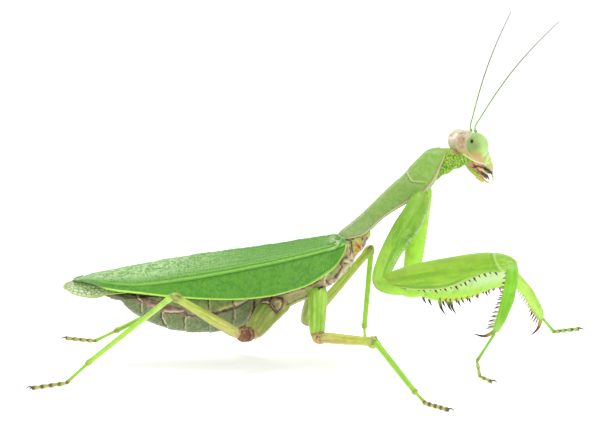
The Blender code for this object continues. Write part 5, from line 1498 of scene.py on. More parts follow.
PINK, WINE, BLACK = (0.62, 0.24, 0.2), (0.16, 0.02, 0.05), (0.012, 0.006, 0.01)
STRAW, YELLOW, FRESH = (0.7, 0.55, 0.22), (0.62, 0.62, 0.06), (0.3, 0.48, 0.06)
MANDIBLE_STOPS = (
    (0.0, (0.6, 0.66, 0.2)), (0.35, (0.66, 0.7, 0.24)), (0.6, (0.8, 0.6, 0.42)), (0.8, (0.6, 0.3, 0.16)),
    (0.9, BLACK), (1.0, BLACK),
)
MAXILLA_STOPS = ((0.0, STRAW), (0.45, PINK), (0.7, (0.62, 0.4, 0.16)), (0.85, WINE), (1.0, BLACK))
jaw_horn = Finish("jaw_horn", 0.35, coat=0.1, glow=0.08)
jaw_tone = jaw_horn.veil(jaw_horn.painted(), (0.3, 0.12, 0.08), 0.1, jaw_horn.noise(0.3, 3.0))
jaw_finish = jaw_horn.done(jaw_tone, jaw_horn.noise(0.12), 0.012)
for hand, side in ((-1, "right"), (1, "left")):
    jaw = mouth_part(MANDIBLE, hand, MANDIBLE_STOPS)
    piece("mandible_horn_" + side, [jaw], jaw_finish, ["mandible_" + side])
    lobe = mouth_part(MAXILLA, hand, MAXILLA_STOPS)
    palp = mouth_part(MAXILLA_PALP, hand, ((0.0, STRAW), (0.5, YELLOW), (1.0, YELLOW)), beads=4)
    piece("maxilla_horn_" + side, [lobe, palp], jaw_finish, ["maxilla_" + side])
lip = [mouth_part(LABIUM, 1, ((0.0, FRESH), (0.6, (0.5, 0.45, 0.1)), (1.0, STRAW)))]
for hand in (-1, 1):
    lip.append(mouth_part(LABIUM_PALP, hand, ((0.0, FRESH), (1.0, YELLOW)), beads=3))
piece("labium_lip", lip, jaw_finish, ["labium"])

# %% [markdown]
# ## The feelers
# A feeler is a thread of some eighty tiny joints on two thicker ones. It is drawn thinner than its
# solid. It starts leaf green and turns olive and then purplish grey.

# %% Feelers
ANTENNA_BASE = (0.85, 2.15, 1.1)
ANTENNA_TIPS = {"right": (43.7, 0.0, 60.3), "left": (36.1, 8.6, 61.4)}
ANTENNA_BOWS = {"right": (-0.66, 0.0, 0.66), "left": (-0.54, 0.0, 0.48)}
THREAD_JOINTS = 84
THREAD_RADII = (
    (0.0, 0.24), (0.01, 0.27), (0.018, 0.2), (0.026, 0.13), (0.06, 0.12), (0.5, 0.1), (1.0, 0.05),
)


def thread_radius(share):
    return curve(THREAD_RADII, share) * (0.94 + 0.12 * np.abs(np.sin(share * math.pi * THREAD_JOINTS)))


thread = Finish("feeler_thread", 0.45, glow=0.05)
thread_tone = thread.ramp(
    thread.mark("along"), (0.0, (0.3, 0.62, 0.06)), (0.12, (0.22, 0.48, 0.04)), (0.35, (0.16, 0.28, 0.05)),
    (0.65, (0.15, 0.15, 0.09)), (1.0, (0.16, 0.11, 0.13)),
)
thread_tone = thread.veil(thread_tone, (0.4, 0.55, 0.22), 0.3, thread.cells(0.3, (0.6, 1.0, 1.6)))
thread_finish = thread.done(thread_tone, thread.noise(0.15), 0.01)
for hand, side in ((-1, "right"), (1, "left")):
    base = head_point(ANTENNA_BASE[0] * hand, *ANTENNA_BASE[1:])
    first = base + HEAD_FORWARD * 0.36 + HEAD_UP * 0.72
    tip, bow = np.array(ANTENNA_TIPS[side]), np.array(ANTENNA_BOWS[side])
    path = [base - HEAD_UP * 0.3, base, first]
    path += [first + (tip - first) * k / 12.0 + bow * math.sin(math.pi * k / 12.0) for k in range(1, 13)]
    feeler = tube(path, thread_radius, 420, 10, HEAD_LEFT)
    piece("feeler_" + side, [feeler], thread_finish, ["antenna_" + side])

# %% [markdown]
# ## Legs
# A limb is a row of ovals from one joint to the next, wider behind or in front where a muscle
# swells it. One helper makes the grid for every limb; a second grows a spine as a small bent cone;
# a third strings the beads of a foot. The right-hand vectors of each limb (along, across, depth) tell
# the ovals and the spines which way they face.

# %% The pose and the sizes of the legs
POSE = {
    "fore_right": (
        (20.6, 0.3, 30.9), (13.0, -7.7, 15.8), (34.6, -17.0, 20.7), (32.5, -13.3, 8.4),
        (29.1, -15.7, 3.7), (29.7, -14.5, 0.75), (31.5, -16.9, 0.4),
    ),
    "fore_left": (
        (20.95, 5.2, 30.4), (17.9, 5.0, 12.5), (37.7, 15.6, 12.8), (43.6, 22.5, 4.1), (46.3, 26.8, 0.5),
        (48.6, 28.9, 0.4), (51.3, 30.2, 0.4),
    ),
    "mid_right": (
        (2.1, -3.2, 13.6), (1.9, -4.3, 5.6), (11.8, -17.4, 7.3), (18.1, -29.5, 1.2), (19.5, -33.6, 0.4),
        (23.0, -38.4, 0.35),
    ),
    "mid_left": (
        (2.1, 3.2, 12.9), (0.1, 7.6, 5.9), (11.8, 13.2, 18.6), (10.6, 14.9, 3.6), (10.8, 18.0, 0.5),
        (12.4, 21.7, 0.35),
    ),
    "hind_right": (
        (-5.8, -3.2, 11.6), (-10.9, -8.5, 6.4), (-22.2, -22.5, 16.2), (-37.2, -16.6, 3.4),
        (-40.6, -18.4, 0.45), (-46.1, -21.8, 0.35),
    ),
    "hind_left": (
        (-6.0, 3.2, 10.9), (-11.8, 6.8, 4.5), (-18.0, 25.7, 9.5), (-34.8, 16.1, 2.7),
        (-38.7, 18.3, 0.45), (-44.3, 21.5, 0.35),
    ),
}
# Share of the length, half width, reach behind, reach in front.
RIGHT_FORE_COXA = (
    (0.01, 0.5, 0.5, 0.5), (0.05, 1.1, 1.0, 1.2), (0.1, 1.6, 1.4, 1.9), (0.22, 1.8, 1.7, 2.3),
    (0.4, 1.8, 2.4, 2.3), (0.55, 1.7, 2.7, 1.4), (0.74, 1.5, 2.75, 0.45), (0.88, 1.3, 2.5, 0.55),
    (0.96, 1.15, 2.15, 0.9), (1.01, 1.0, 1.7, 1.1), (1.05, 0.7, 0.95, 0.9), (1.07, 0.3, 0.4, 0.4),
)
LEFT_FORE_COXA = (
    (-0.03, 0.9, 0.8, 0.8), (0.0, 1.3, 1.2, 1.2), (0.08, 1.6, 1.5, 1.5), (0.22, 1.7, 1.8, 1.55),
    (0.4, 1.6, 2.1, 1.8), (0.55, 1.5, 1.8, 1.95), (0.74, 1.35, 1.25, 1.95), (0.88, 1.2, 1.2, 1.6),
    (0.97, 1.0, 1.0, 1.0), (1.0, 0.7, 0.7, 0.7),
)
FORE_TROCHANTER = (
    (-0.08, 0.6, 0.6, 0.8), (0.0, 1.0, 1.0, 1.3), (0.25, 1.4, 1.6, 1.5), (0.6, 1.3, 1.3, 1.3),
    (1.0, 0.8, 0.7, 0.7),
)
FORE_FEMUR = (
    (0.02, 0.6, 0.7, 0.4), (0.04, 0.9, 1.2, 0.7), (0.12, 1.2, 1.8, 1.1), (0.25, 1.5, 2.3, 2.0),
    (0.42, 1.6, 2.6, 2.5), (0.57, 1.5, 2.7, 2.3), (0.7, 1.4, 2.7, 1.4), (0.82, 1.2, 2.6, 0.8),
    (0.93, 1.1, 2.1, 1.1), (1.0, 0.8, 1.3, 0.9), (1.03, 0.4, 0.6, 0.5),
)
FORE_TIBIA = {
    "right": (
        (-0.05, 0.5, 0.8, 0.5), (0.02, 0.8, 1.2, 0.6), (0.13, 0.88, 1.6, 0.35), (0.3, 0.9, 1.75, 0.22),
        (0.5, 0.85, 1.8, 0.2), (0.7, 0.75, 1.4, 0.3), (0.84, 0.65, 1.05, 0.42), (0.92, 0.6, 0.75, 0.58),
        (1.0, 0.4, 0.4, 0.6),
    ),
    "left": (
        (-0.05, 0.5, 0.8, 0.6), (0.02, 0.8, 1.1, 0.9), (0.2, 0.9, 1.35, 0.7), (0.45, 0.85, 1.5, 0.55),
        (0.7, 0.75, 1.25, 0.55), (0.92, 0.6, 0.85, 0.65), (1.0, 0.4, 0.4, 0.6),
    ),
}
MID_COXA = (
    (-0.06, 1.2, 1.3, 1.3), (0.0, 1.4, 1.5, 1.5), (0.35, 1.5, 1.5, 1.5), (0.8, 1.3, 1.3, 1.3),
    (0.97, 1.0, 1.0, 1.0), (1.03, 0.5, 0.5, 0.5),
)
HIND_COXA = (
    (-0.06, 1.7, 2.3, 3.1), (0.0, 1.9, 2.4, 3.1), (0.14, 1.8, 2.2, 2.85), (0.42, 1.7, 1.9, 2.35),
    (0.7, 1.45, 1.64, 1.95), (0.86, 1.2, 1.05, 1.6), (0.97, 0.95, 0.8, 1.1), (1.03, 0.5, 0.4, 0.5),
)
# How far the end of a hind coxa lies before and outside of the thigh it carries.
HIND_STEP = (1.4, 0.3, 0.25)
HIND_RING = (
    (0.0, 0.6, 0.7, 0.7), (0.2, 1.15, 1.2, 1.3), (0.5, 1.2, 1.25, 1.4), (0.8, 1.1, 1.15, 1.25),
    (1.0, 0.6, 0.7, 0.7),
)
TROCHANTER = ((0.0, 0.7, 0.8, 0.8), (0.3, 1.1, 1.2, 1.2), (0.75, 0.95, 1.05, 1.05), (1.0, 0.6, 0.7, 0.7))
MID_FEMUR = (
    (0.04, 0.5, 0.6, 0.6), (0.15, 0.7, 0.85, 0.85), (0.5, 0.68, 0.82, 0.82), (0.88, 0.58, 0.72, 0.72),
    (0.95, 0.72, 0.88, 1.1), (1.0, 0.5, 0.65, 0.8), (1.015, 0.2, 0.3, 0.35),
)
HIND_FEMUR = (
    (0.03, 0.5, 0.6, 0.6), (0.14, 0.75, 0.95, 0.95), (0.4, 0.73, 0.92, 0.92), (0.88, 0.53, 0.66, 0.66),
    (0.96, 0.66, 0.84, 0.84), (1.0, 0.45, 0.6, 0.6), (1.015, 0.2, 0.3, 0.3),
)
TIBIA = (
    (-0.03, 0.2, 0.25, 0.25), (0.0, 0.4, 0.5, 0.5), (0.03, 0.52, 0.62, 0.62), (0.1, 0.44, 0.52, 0.52),
    (0.55, 0.42, 0.48, 0.48), (0.92, 0.41, 0.45, 0.45), (0.975, 0.46, 0.5, 0.5),
    (1.0, 0.38, 0.42, 0.42), (1.015, 0.2, 0.24, 0.24),
)


print("legs posed:", ", ".join(POSE))

# %% Helpers for limbs and spines
def limb_frame(start, end, hint):
    along = unit(end - start)
    depth = unit(hint - along * np.dot(hint, along))
    return along, np.cross(depth, along), depth


def limb(start, end, stations, hint, look, rows=120, columns=56, strokes=()):
    """A limb with oval sections; look gives relief in mm and paint for places on it."""
    start, end, hint = (np.asarray(value, float) for value in (start, end, hint))
    _, across, depth = limb_frame(start, end, hint)
    first, last = stations[0][0], stations[-1][0]
    step = np.linspace(0.0, 1.0, rows)
    slow_ends = 0.5 - 0.5 * np.cos(math.pi * step)
    share = first + (last - first) * slow_ends * 0.35 + (last - first) * step * 0.65
    share = np.clip(share, first, last)[:, None]
    wide, behind, front = (curve(column(stations, k), share) for k in (1, 2, 3))
    angle = turn_of(columns)[None, :]
    c, s = np.cos(angle) + 0.0 * share, np.sin(angle) + 0.0 * share
    reach = np.where(s > 0.0, front, behind)
    middle = start + (end - start) * share[..., None]
    points = middle + across * (wide * c)[..., None] + depth * (reach * s)[..., None]
    size = float(np.linalg.norm(end - start))
    relief, paint = look(share + 0.0 * c, c, s, size)
    paint, dents = drawn(paint, points, strokes, under(share, 0.75, 3.0))
    points = points + normals_of(points) * (relief - 0.1 * dents)[..., None]
    return grid(points, paint_marks(paint))


def spike(root, direction, bend, length, thick, colours, rows=16, sides=10):
    """A bent cone whose root is sunk in the skin; colours are stops along it."""
    root, direction = np.asarray(root, float), unit(direction)
    bend = unit(bend - direction * np.dot(bend, direction))
    middle = root + direction * (length * 0.5) + bend * (length * 0.02)
    tip = root + direction * length + bend * (length * 0.16)
    path = [root - direction * 0.5, root, middle, tip]
    radii = ((0.0, thick * 1.15), (0.3, thick), (0.6, thick * 0.62), (0.9, thick * 0.22), (1.0, 0.02))
    return tube(path, radii, rows, sides, bend, colour_marks(colours))


def lines_at(s, c, *angles):
    """Thin lengthwise lines on a limb at angles in degrees round its section."""
    here = np.arctan2(s, c)
    total = np.zeros_like(here)
    for degrees in angles:
        off = np.angle(np.exp(1j * (here - math.radians(degrees))))
        total = np.maximum(total, bell(off, 0.12))
    return total


level_frame = limb_frame(np.zeros(3), np.array((1.0, 0.0, 0.0)), np.array(UPRIGHT))
print("a level limb with its depth upward has its width along", level_frame[1].tolist())


# %% [markdown]
# The skin of a leg isn't smooth: fine grains, lengthwise keels and, on the coxa of a grasping leg, a
# ragged pale edge. The looks below return relief and colour for each kind of limb.

# %% Looks of the grasping legs
def streaks_on(share, s, size, seed, long=4.0, across=3.0):
    """Lengthwise light and dark streaks on a limb, the same on both of its faces."""
    broad = patchy(share * size / long, s * across + 9.0, seed)
    return broad, patchy(share * size / 1.1, s * across * 2.2 + 5.0, seed + 1)


def look_fore_coxa(bright):
    def look(share, c, s, size):
        broad, fine = streaks_on(share, s, size, 61, 5.0, 2.2)
        keel = lines_at(s, c, 90.0)
        around = np.arctan2(s, c) - math.pi / 2 - 0.12 * wander(share * size * 2.0, 62)
        brink = bell(np.angle(np.exp(1j * around)), 0.13)
        ragged = over(patchy(share * size / 0.3, c * 3.0 + 9.0, 63, 1), 0.3, 4.0)
        rear = lines_at(s, c, -64.0, -76.0, -104.0, -116.0)
        paint = layered(
            plain(share, (0.19, 0.44, 0.025)),
            (ease(share * 1.3) * 0.8, (0.24, 0.52, 0.03)),
            (over(share, 0.5, 3.0) * 0.9, (0.42, 0.78, 0.075)),
            (over(broad, 0.5, 4.0) * 0.5, (0.34, 0.62, 0.07)),
            (under(broad, 0.45, 4.0) * 0.5, (0.13, 0.36, 0.015)),
            (over(fine, 0.62, 5.0) * 0.35, (0.42, 0.66, 0.15)),
            (rear * (0.65 - 0.5 * bright) * under(share, 0.85, 3.0), (0.2, 0.27, 0.06)),
            (under(share, 0.26, 4.0) * ease(s * 2.0) * 0.35, (0.42, 0.56, 0.12)),
            (np.full(share.shape, bright), (0.5, 0.9, 0.06)),
            (brink * ragged * (0.5 - 0.3 * bright), (0.8, 0.9, 0.58)),
            (over(share, 0.93, 10.0) * 0.4, (0.44, 0.56, 0.14)),
        )
        return 0.06 * keel + 0.05 * broad + 0.03 * fine + 0.09 * brink * ragged, paint
    return look


# Share of the length, and how far forward the pale border of the thigh lies.
THIGH_BORDER = ((0.03, 0.05), (0.08, 0.45), (0.18, 0.72), (0.32, 0.86), (0.5, 0.9), (0.66, 0.7))


def look_fore_femur(inner_sign, bright, pale):
    def look(share, c, s, size):
        inner = ease(0.5 + c * inner_sign * 1.4)
        broad, fine = streaks_on(share, s, size, 67, 6.0, 3.2)
        groove = lines_at(s, c, 90.0)
        way = curve(THIGH_BORDER, share)
        border = bell(s - way, 0.07) * under(share, 0.72, 8.0)
        shade = bell(s - way + 0.2, 0.12) * under(share, 0.72, 8.0)
        knee = over(share, 0.9, 10.0)
        paint = layered(
            plain(share, (0.285, 0.575, 0.018)),
            (over(broad, 0.5, 4.0) * 0.55, (0.4, 0.7, 0.05)),
            (under(broad, 0.47, 4.0) * 0.65, (0.18, 0.44, 0.012)),
            (over(share, 0.7, 5.0) * 0.5, (0.22, 0.52, 0.015)),
            (over(fine, 0.6, 5.0) * 0.3, (0.36, 0.44, 0.05)),
            (ease((-s - 0.55) * 4.0) * 0.45, (0.34, 0.56, 0.09)),
            (under(share, 0.3, 4.0) * 0.5, (0.32, 0.48, 0.05)),
            (shade * 0.9, (0.13, 0.36, 0.01)),
            (border * 0.75, (0.56, 0.7, 0.22)),
            (inner * bright, (0.42, 0.8, 0.05)),
            (inner * bright * pale * ease(0.5 - s), (0.66, 0.86, 0.44)),
            (inner * bright * bell(s - 0.75, 0.25) * over(fine, 0.5, 5.0) * 0.6, (0.66, 0.7, 0.06)),
            (knee * (0.2 + 0.6 * over(fine, 0.5, 5.0)), (0.5, 0.82, 0.17)),
            (bell(share - 0.9 - 0.02 * s, 0.01) * 0.5, (0.16, 0.4, 0.02)),
            (bell(share - 0.925 - 0.025 * s, 0.009) * 0.6, (0.62, 0.86, 0.3)),
        )
        relief = 0.07 * broad + 0.04 * fine - 0.12 * groove * over(share, 0.3, 4.0) + 0.07 * border
        return relief - 0.05 * shade - 0.05 * bell(share - 0.9 - 0.02 * s, 0.012), paint
    return look


def look_fore_tibia(colour):
    def look(share, c, s, size):
        keel = lines_at(s, c, -90.0, 60.0, 120.0)
        broad, fine = streaks_on(share, s, size, 73, 4.0, 3.0)
        paint = layered(
            plain(share, colour),
            (over(broad, 0.5, 4.0) * 0.4, np.minimum(np.array(colour) * 1.35, 0.9)),
            (under(broad, 0.42, 4.0) * 0.4, np.array(colour) * 0.7),
            (under(share, 0.1, 9.0) * 0.7, (0.45, 0.74, 0.2)),
            (over(share, 0.8, 8.0) * 0.6, (0.46, 0.66, 0.18)),
            (keel * 0.35, (0.42, 0.7, 0.1)),
        )
        return 0.04 * keel + 0.04 * broad + 0.02 * fine, paint
    return look


print("looks for coxa, thigh and shin of a grasping leg ready")


# %% [markdown]
# The walking legs are smoother. Their coxae are ribbed, the joint below is cracked like bark, and
# thigh and shin differ mostly in how their colour changes along them.

# %% Looks of the walking legs
# Where the ribs of a coxa run, in degrees round it.
HIND_RIBS = range(-170, 181, 45)
MID_RIBS = (-158, -110, -84, -40, -20, 18, 66, 96, 140, 165)


def look_small_coxa(hind, near):
    def look(share, c, s, size):
        ridges = lines_at(s, c, *(HIND_RIBS if hind else MID_RIBS))
        broad, fine = streaks_on(share, s, size, 79, 4.0, 3.0)
        base = (0.24, 0.32, 0.05) if hind else (0.36, 0.66, 0.045) if near else (0.34, 0.46, 0.07)
        paint = layered(
            plain(share, base),
            (
                over(broad, 0.5, 4.0) * 0.6,
                (0.36, 0.44, 0.09) if hind else (0.48, 0.78, 0.09) if near else (0.46, 0.56, 0.13),
            ),
            (
                under(broad, 0.42, 4.0) * 0.6,
                (0.15, 0.2, 0.03) if hind else (0.24, 0.52, 0.025) if near else (0.24, 0.3, 0.05),
            ),
        )
        if hind:
            paint = layered(
                paint,
                (over(fine, 0.6, 5.0) * over(share, 0.45, 3.0) * 0.7, (0.4, 0.22, 0.07)),
                (ease((s + 0.1) * 1.2) * 0.4, (0.3, 0.33, 0.08)),
                (bell(s + 0.75, 0.2) * 0.5, (0.44, 0.5, 0.16)),
            )
        faint = 0.3 + 0.7 * over(fine, 0.35, 3.0)
        end = over(share, 0.84, 8.0)
        paint = layered(
            paint,
            (
                ridges * faint * (0.35 if hind else 0.5 if near else 0.2),
                (0.5, 0.62, 0.18) if hind else (0.66, 0.86, 0.32),
            ),
            (end * (0.35 + 0.5 * over(fine, 0.4, 4.0)), (0.62, 0.42, 0.16)),
            (bell(share - 0.93, 0.02) * 0.7, (0.3, 0.1, 0.04)),
        )
        relief = (0.07 if hind else 0.04) * ridges + 0.06 * broad + 0.03 * fine
        return relief - 0.06 * bell(share - 0.93, 0.02), paint
    return look


def look_trochanter(colour, light):
    def look(share, c, s, size):
        broad, fine = patchy(share * 3.0, s * 2.0 + 5.0, 83), patchy(share * 7.0, s * 3.5 + 5.0, 84)
        first_crack = bell(share - 0.34 - 0.1 * s - 0.05 * broad, 0.03)
        second_crack = bell(share - 0.66 + 0.14 * s + 0.08 * fine, 0.03) * ease(s + 0.6)
        cracks = np.maximum(first_crack, second_crack)
        paint = tinted(plain(share, colour), over(broad, 0.4, 3.0) * 0.7, light)
        paint = layered(
            paint,
            (under(fine, 0.36, 5.0) * 0.7, (0.12, 0.04, 0.03)),
            (over(fine, 0.68, 6.0) * 0.35, (0.66, 0.5, 0.26)),
        )
        return 0.1 * broad + 0.05 * fine - 0.12 * cracks, tinted(paint, cracks * 0.8, (0.07, 0.02, 0.015))
    return look


def look_femur(base_colour, middle_colour, knee_colour, edge_colour):
    def look(share, c, s, size):
        broad, fine = streaks_on(share, s, size, 87, 5.0, 3.0)
        keel = lines_at(s, c, 90.0, -90.0)
        paint = tinted(plain(share, base_colour), ease(share * 1.7), middle_colour)
        middle = np.array(middle_colour)
        knee = over(share, 0.9, 12.0)
        paint = layered(
            paint,
            (over(broad, 0.5, 4.0) * 0.45, np.minimum(middle * 1.35 + 0.04, 0.85)),
            (under(broad, 0.42, 4.0) * 0.45, middle * 0.62),
            (over(fine, 0.66, 5.0) * under(share, 0.7, 3.0) * 0.5, (0.6, 0.36, 0.2)),
            (bell(s - 0.7, 0.3) * under(share, 0.9, 6.0) * 0.55, edge_colour),
            # Painted highlight: light patches along the upper side of the thigh, in a lighter copy of its
            # middle colour.
            (
                bell(s + 0.5, 0.28) * over(fine, 0.4, 4.0) * under(share, 0.9, 6.0) * 0.55,
                np.minimum(middle * 1.3 + 0.16, 0.82),
            ),
            (over(share, 0.87, 9.0) * 0.8, knee_colour),
            (keel * 0.4, (0.3, 0.28, 0.07)),
            (knee * under(fine, 0.45, 5.0) * 0.8, (0.13, 0.08, 0.03)),
            (knee * over(fine, 0.62, 5.0) * 0.6, (0.5, 0.55, 0.18)),
        )
        return 0.035 * keel + 0.04 * broad + (0.02 + 0.06 * knee) * fine, paint
    return look


def look_tibia(upper_colour, lower_colour):
    def look(share, c, s, size):
        broad, fine = streaks_on(share, s, size, 91, 6.0, 2.5)
        keel = lines_at(s, c, 90.0, -90.0, 0.0, 180.0)
        paint = tinted(plain(share, upper_colour), over(share, 0.2, 1.6), lower_colour)
        paint = layered(
            paint,
            (under(broad, 0.42, 4.0) * 0.4, np.array(lower_colour) * 0.65),
            (bell(share, 0.02) * 0.7, (0.26, 0.17, 0.06)),
            (over(share, 0.955, 22.0) * 0.7, (0.34, 0.24, 0.07)),
            (keel * 0.2, (0.52, 0.72, 0.18)),
        )
        return 0.025 * keel + 0.02 * fine, paint
    return look


print("ribs round a hind coxa:", len(HIND_RIBS), "and round a middle one:", len(MID_RIBS))


# %% [markdown]
# One skin material serves all limbs, since their colour is painted already. It adds small pale
# speckles and a faint grain, and a thin coat gives the waxy sheen of living chitin.

# %% Finish of the limbs
chitin = Finish("leg_chitin", 0.4, coat=0.18, glow=0.18)
chitin_tone = chitin.veil(chitin.painted(), (0.62, 0.74, 0.3), 0.3, chitin.noise(0.35, 4.0), 0.55, 0.8)
chitin_tone = chitin.veil(chitin_tone, (0.16, 0.3, 0.02), 0.25, chitin.noise(1.8), 0.5, 0.7)
leg_skin = chitin.done(chitin_tone, chitin.noise(0.16, 3.0), 0.022)
dark_horn = Finish("spine_horn", 0.4, coat=0.05)
horn_tone = dark_horn.veil(dark_horn.painted(), (0.1, 0.05, 0.02), 0.12, dark_horn.noise(0.2))
horn = dark_horn.done(horn_tone, dark_horn.noise(0.1), 0.006)
dark_horn.shader.inputs["Specular IOR Level"].default_value = 0.15
SPINE_STOPS = (
    (0.0, (0.36, 0.64, 0.06)), (0.4, (0.6, 0.74, 0.28)), (0.52, (0.42, 0.26, 0.1)),
    (0.66, (0.04, 0.012, 0.01)), (1.0, (0.008, 0.005, 0.006)),
)
EMBER_STOPS = (
    (0.0, (0.6, 0.5, 0.06)), (0.35, (0.62, 0.22, 0.04)), (0.55, (0.12, 0.02, 0.012)),
    (1.0, (0.008, 0.004, 0.005)),
)
BLACK_STOPS = (
    (0.0, (0.36, 0.6, 0.08)), (0.3, (0.16, 0.2, 0.05)), (0.42, (0.02, 0.012, 0.012)),
    (1.0, (0.006, 0.004, 0.005)),
)
PALE_STOPS = ((0.0, (0.4, 0.62, 0.14)), (0.6, (0.7, 0.74, 0.42)), (1.0, (0.5, 0.36, 0.12)))
HOOK_STOPS = (
    (0.0, (0.36, 0.6, 0.08)), (0.35, (0.42, 0.42, 0.08)), (0.5, (0.36, 0.07, 0.03)),
    (0.72, (0.1, 0.005, 0.008)), (1.0, (0.008, 0.003, 0.004)),
)
TOOTH_STOPS = ((0.0, (0.5, 0.7, 0.2)), (1.0, (0.84, 0.88, 0.62)))
GREEN_TOOTH_STOPS = ((0.0, (0.42, 0.76, 0.06)), (0.6, (0.46, 0.68, 0.14)), (1.0, (0.3, 0.44, 0.1)))
print("finishes of the legs:", leg_skin.name, "and", horn.name)

# %% [markdown]
# ## Feet
# Each foot has five joints, the first as long as the other four, with a soft pad under each and two
# claws at the end. The beads widen toward the end of each joint. Nothing reaches below the floor.

# %% Feet
# Share of a joint, radius, and how much of the pad's colour it takes.
FIRST_JOINT = ((0.03, 0.3, 0.0), (0.5, 0.27, 0.0), (0.88, 0.32, 0.15), (0.97, 0.36, 0.9))
LATER_JOINT = ((0.05, 0.26, 0.8), (0.22, 0.28, 0.0), (0.66, 0.39, 0.1), (0.8, 0.38, 0.9), (0.96, 0.32, 1.0))
# Forward, outward and up from the root of a claw.
CLAW = ((0.0, 0.0, 0.0), (0.45, 0.25, 0.18), (0.88, 0.45, 0.04), (1.02, 0.45, -0.2))
CLAW_RADII = ((0.0, 0.15), (0.4, 0.13), (0.8, 0.07), (1.0, 0.02))
CLAW_STOPS = ((0.0, (0.3, 0.22, 0.08)), (0.5, (0.1, 0.04, 0.02)), (1.0, (0.02, 0.01, 0.01)))


def foot_parts(points, beads, scale, first_colour, bead_colour, pad_colour):
    points = [np.array(point, float) for point in points]
    knots, radii, shades = [], [], []
    for (start, end), count in zip(zip(points, points[1:]), beads):
        for bead_index in range(count):
            first = not knots or (count == 1 and len(knots) < 5)
            for share, radius, shade in FIRST_JOINT if first else LATER_JOINT:
                knots.append(start + (end - start) * ((bead_index + share) / count))
                radii.append(radius * scale)
                body = np.array(first_colour if first else bead_colour)
                shades.append(body + (np.array(pad_colour) - body) * shade)
    knots.append(points[-1])
    radii.append(0.2 * scale)
    shades.append(np.array(pad_colour))
    lengths = np.concatenate(((0.0,), np.cumsum(np.linalg.norm(np.diff(np.array(knots), axis=0), axis=1))))
    places = lengths / lengths[-1]
    marks = colour_marks(list(zip(places, shades)))
    part = tube(knots, list(zip(places, radii)), 22 * len(knots) // 4, 18, UPRIGHT, marks)
    part["points"][:, 2] = np.maximum(part["points"][:, 2], 0.0)
    parts = [part]
    toe = points[-1]
    ahead = toe - points[-2]
    ahead[2] = 0.0
    ahead = unit(ahead)
    aside = np.array((-ahead[1], ahead[0], 0.0))
    for hand in (-1, 1):
        root = toe - ahead * 0.3 + aside * (0.1 * hand)
        path = [root + ahead * forth + aside * (out * hand) + (0.0, 0.0, up) for forth, out, up in CLAW]
        claw = tube(path, CLAW_RADII, 18, 8, UPRIGHT, colour_marks(CLAW_STOPS))
        claw["points"][:, 2] = np.maximum(claw["points"][:, 2], 0.02)
        parts.append(claw)
    return parts


print("rings in a joint of a foot:", len(LATER_JOINT), "and in the first:", len(FIRST_JOINT))


# %% [markdown]
# ## Grasping legs
# The grasping leg folds its spined shin against its spined thigh. The spines stand in rows on either
# side of a groove, every other one longer, green or orange at the root and black at the tip. The shin
# ends in a strong hook. The far thigh shows its inner face, which is brighter.

# %% Grasping legs
# Share of the length and length of the long black spines on the far thigh.
LONG_SPINES = (
    (0.16, 2.0), (0.23, 2.4), (0.32, 3.9), (0.365, 2.3), (0.4, 3.0), (0.44, 4.3), (0.5, 1.7),
    (0.55, 1.8), (0.6, 1.6), (0.67, 1.5), (0.75, 1.5), (0.82, 1.3),
)
# How many, first and last share of the length, place across the section, shorter and taller length.
INNER_SPINES = {"right": (16, 0.26, 0.86, -0.12, 0.7, 1.1), "left": (12, 0.3, 0.86, -0.62, 0.5, 0.9)}
COXA_TEETH = 17
TIBIA_SPINES = ((13, 0.2, 0.95, 0.5), (12, 0.16, 0.94, -0.5))
HOOK = ((-0.5, 0.0, 0.42), (0.5, 0.6, 0.36), (1.6, 1.9, 0.22), (1.8, 3.75, 0.03))


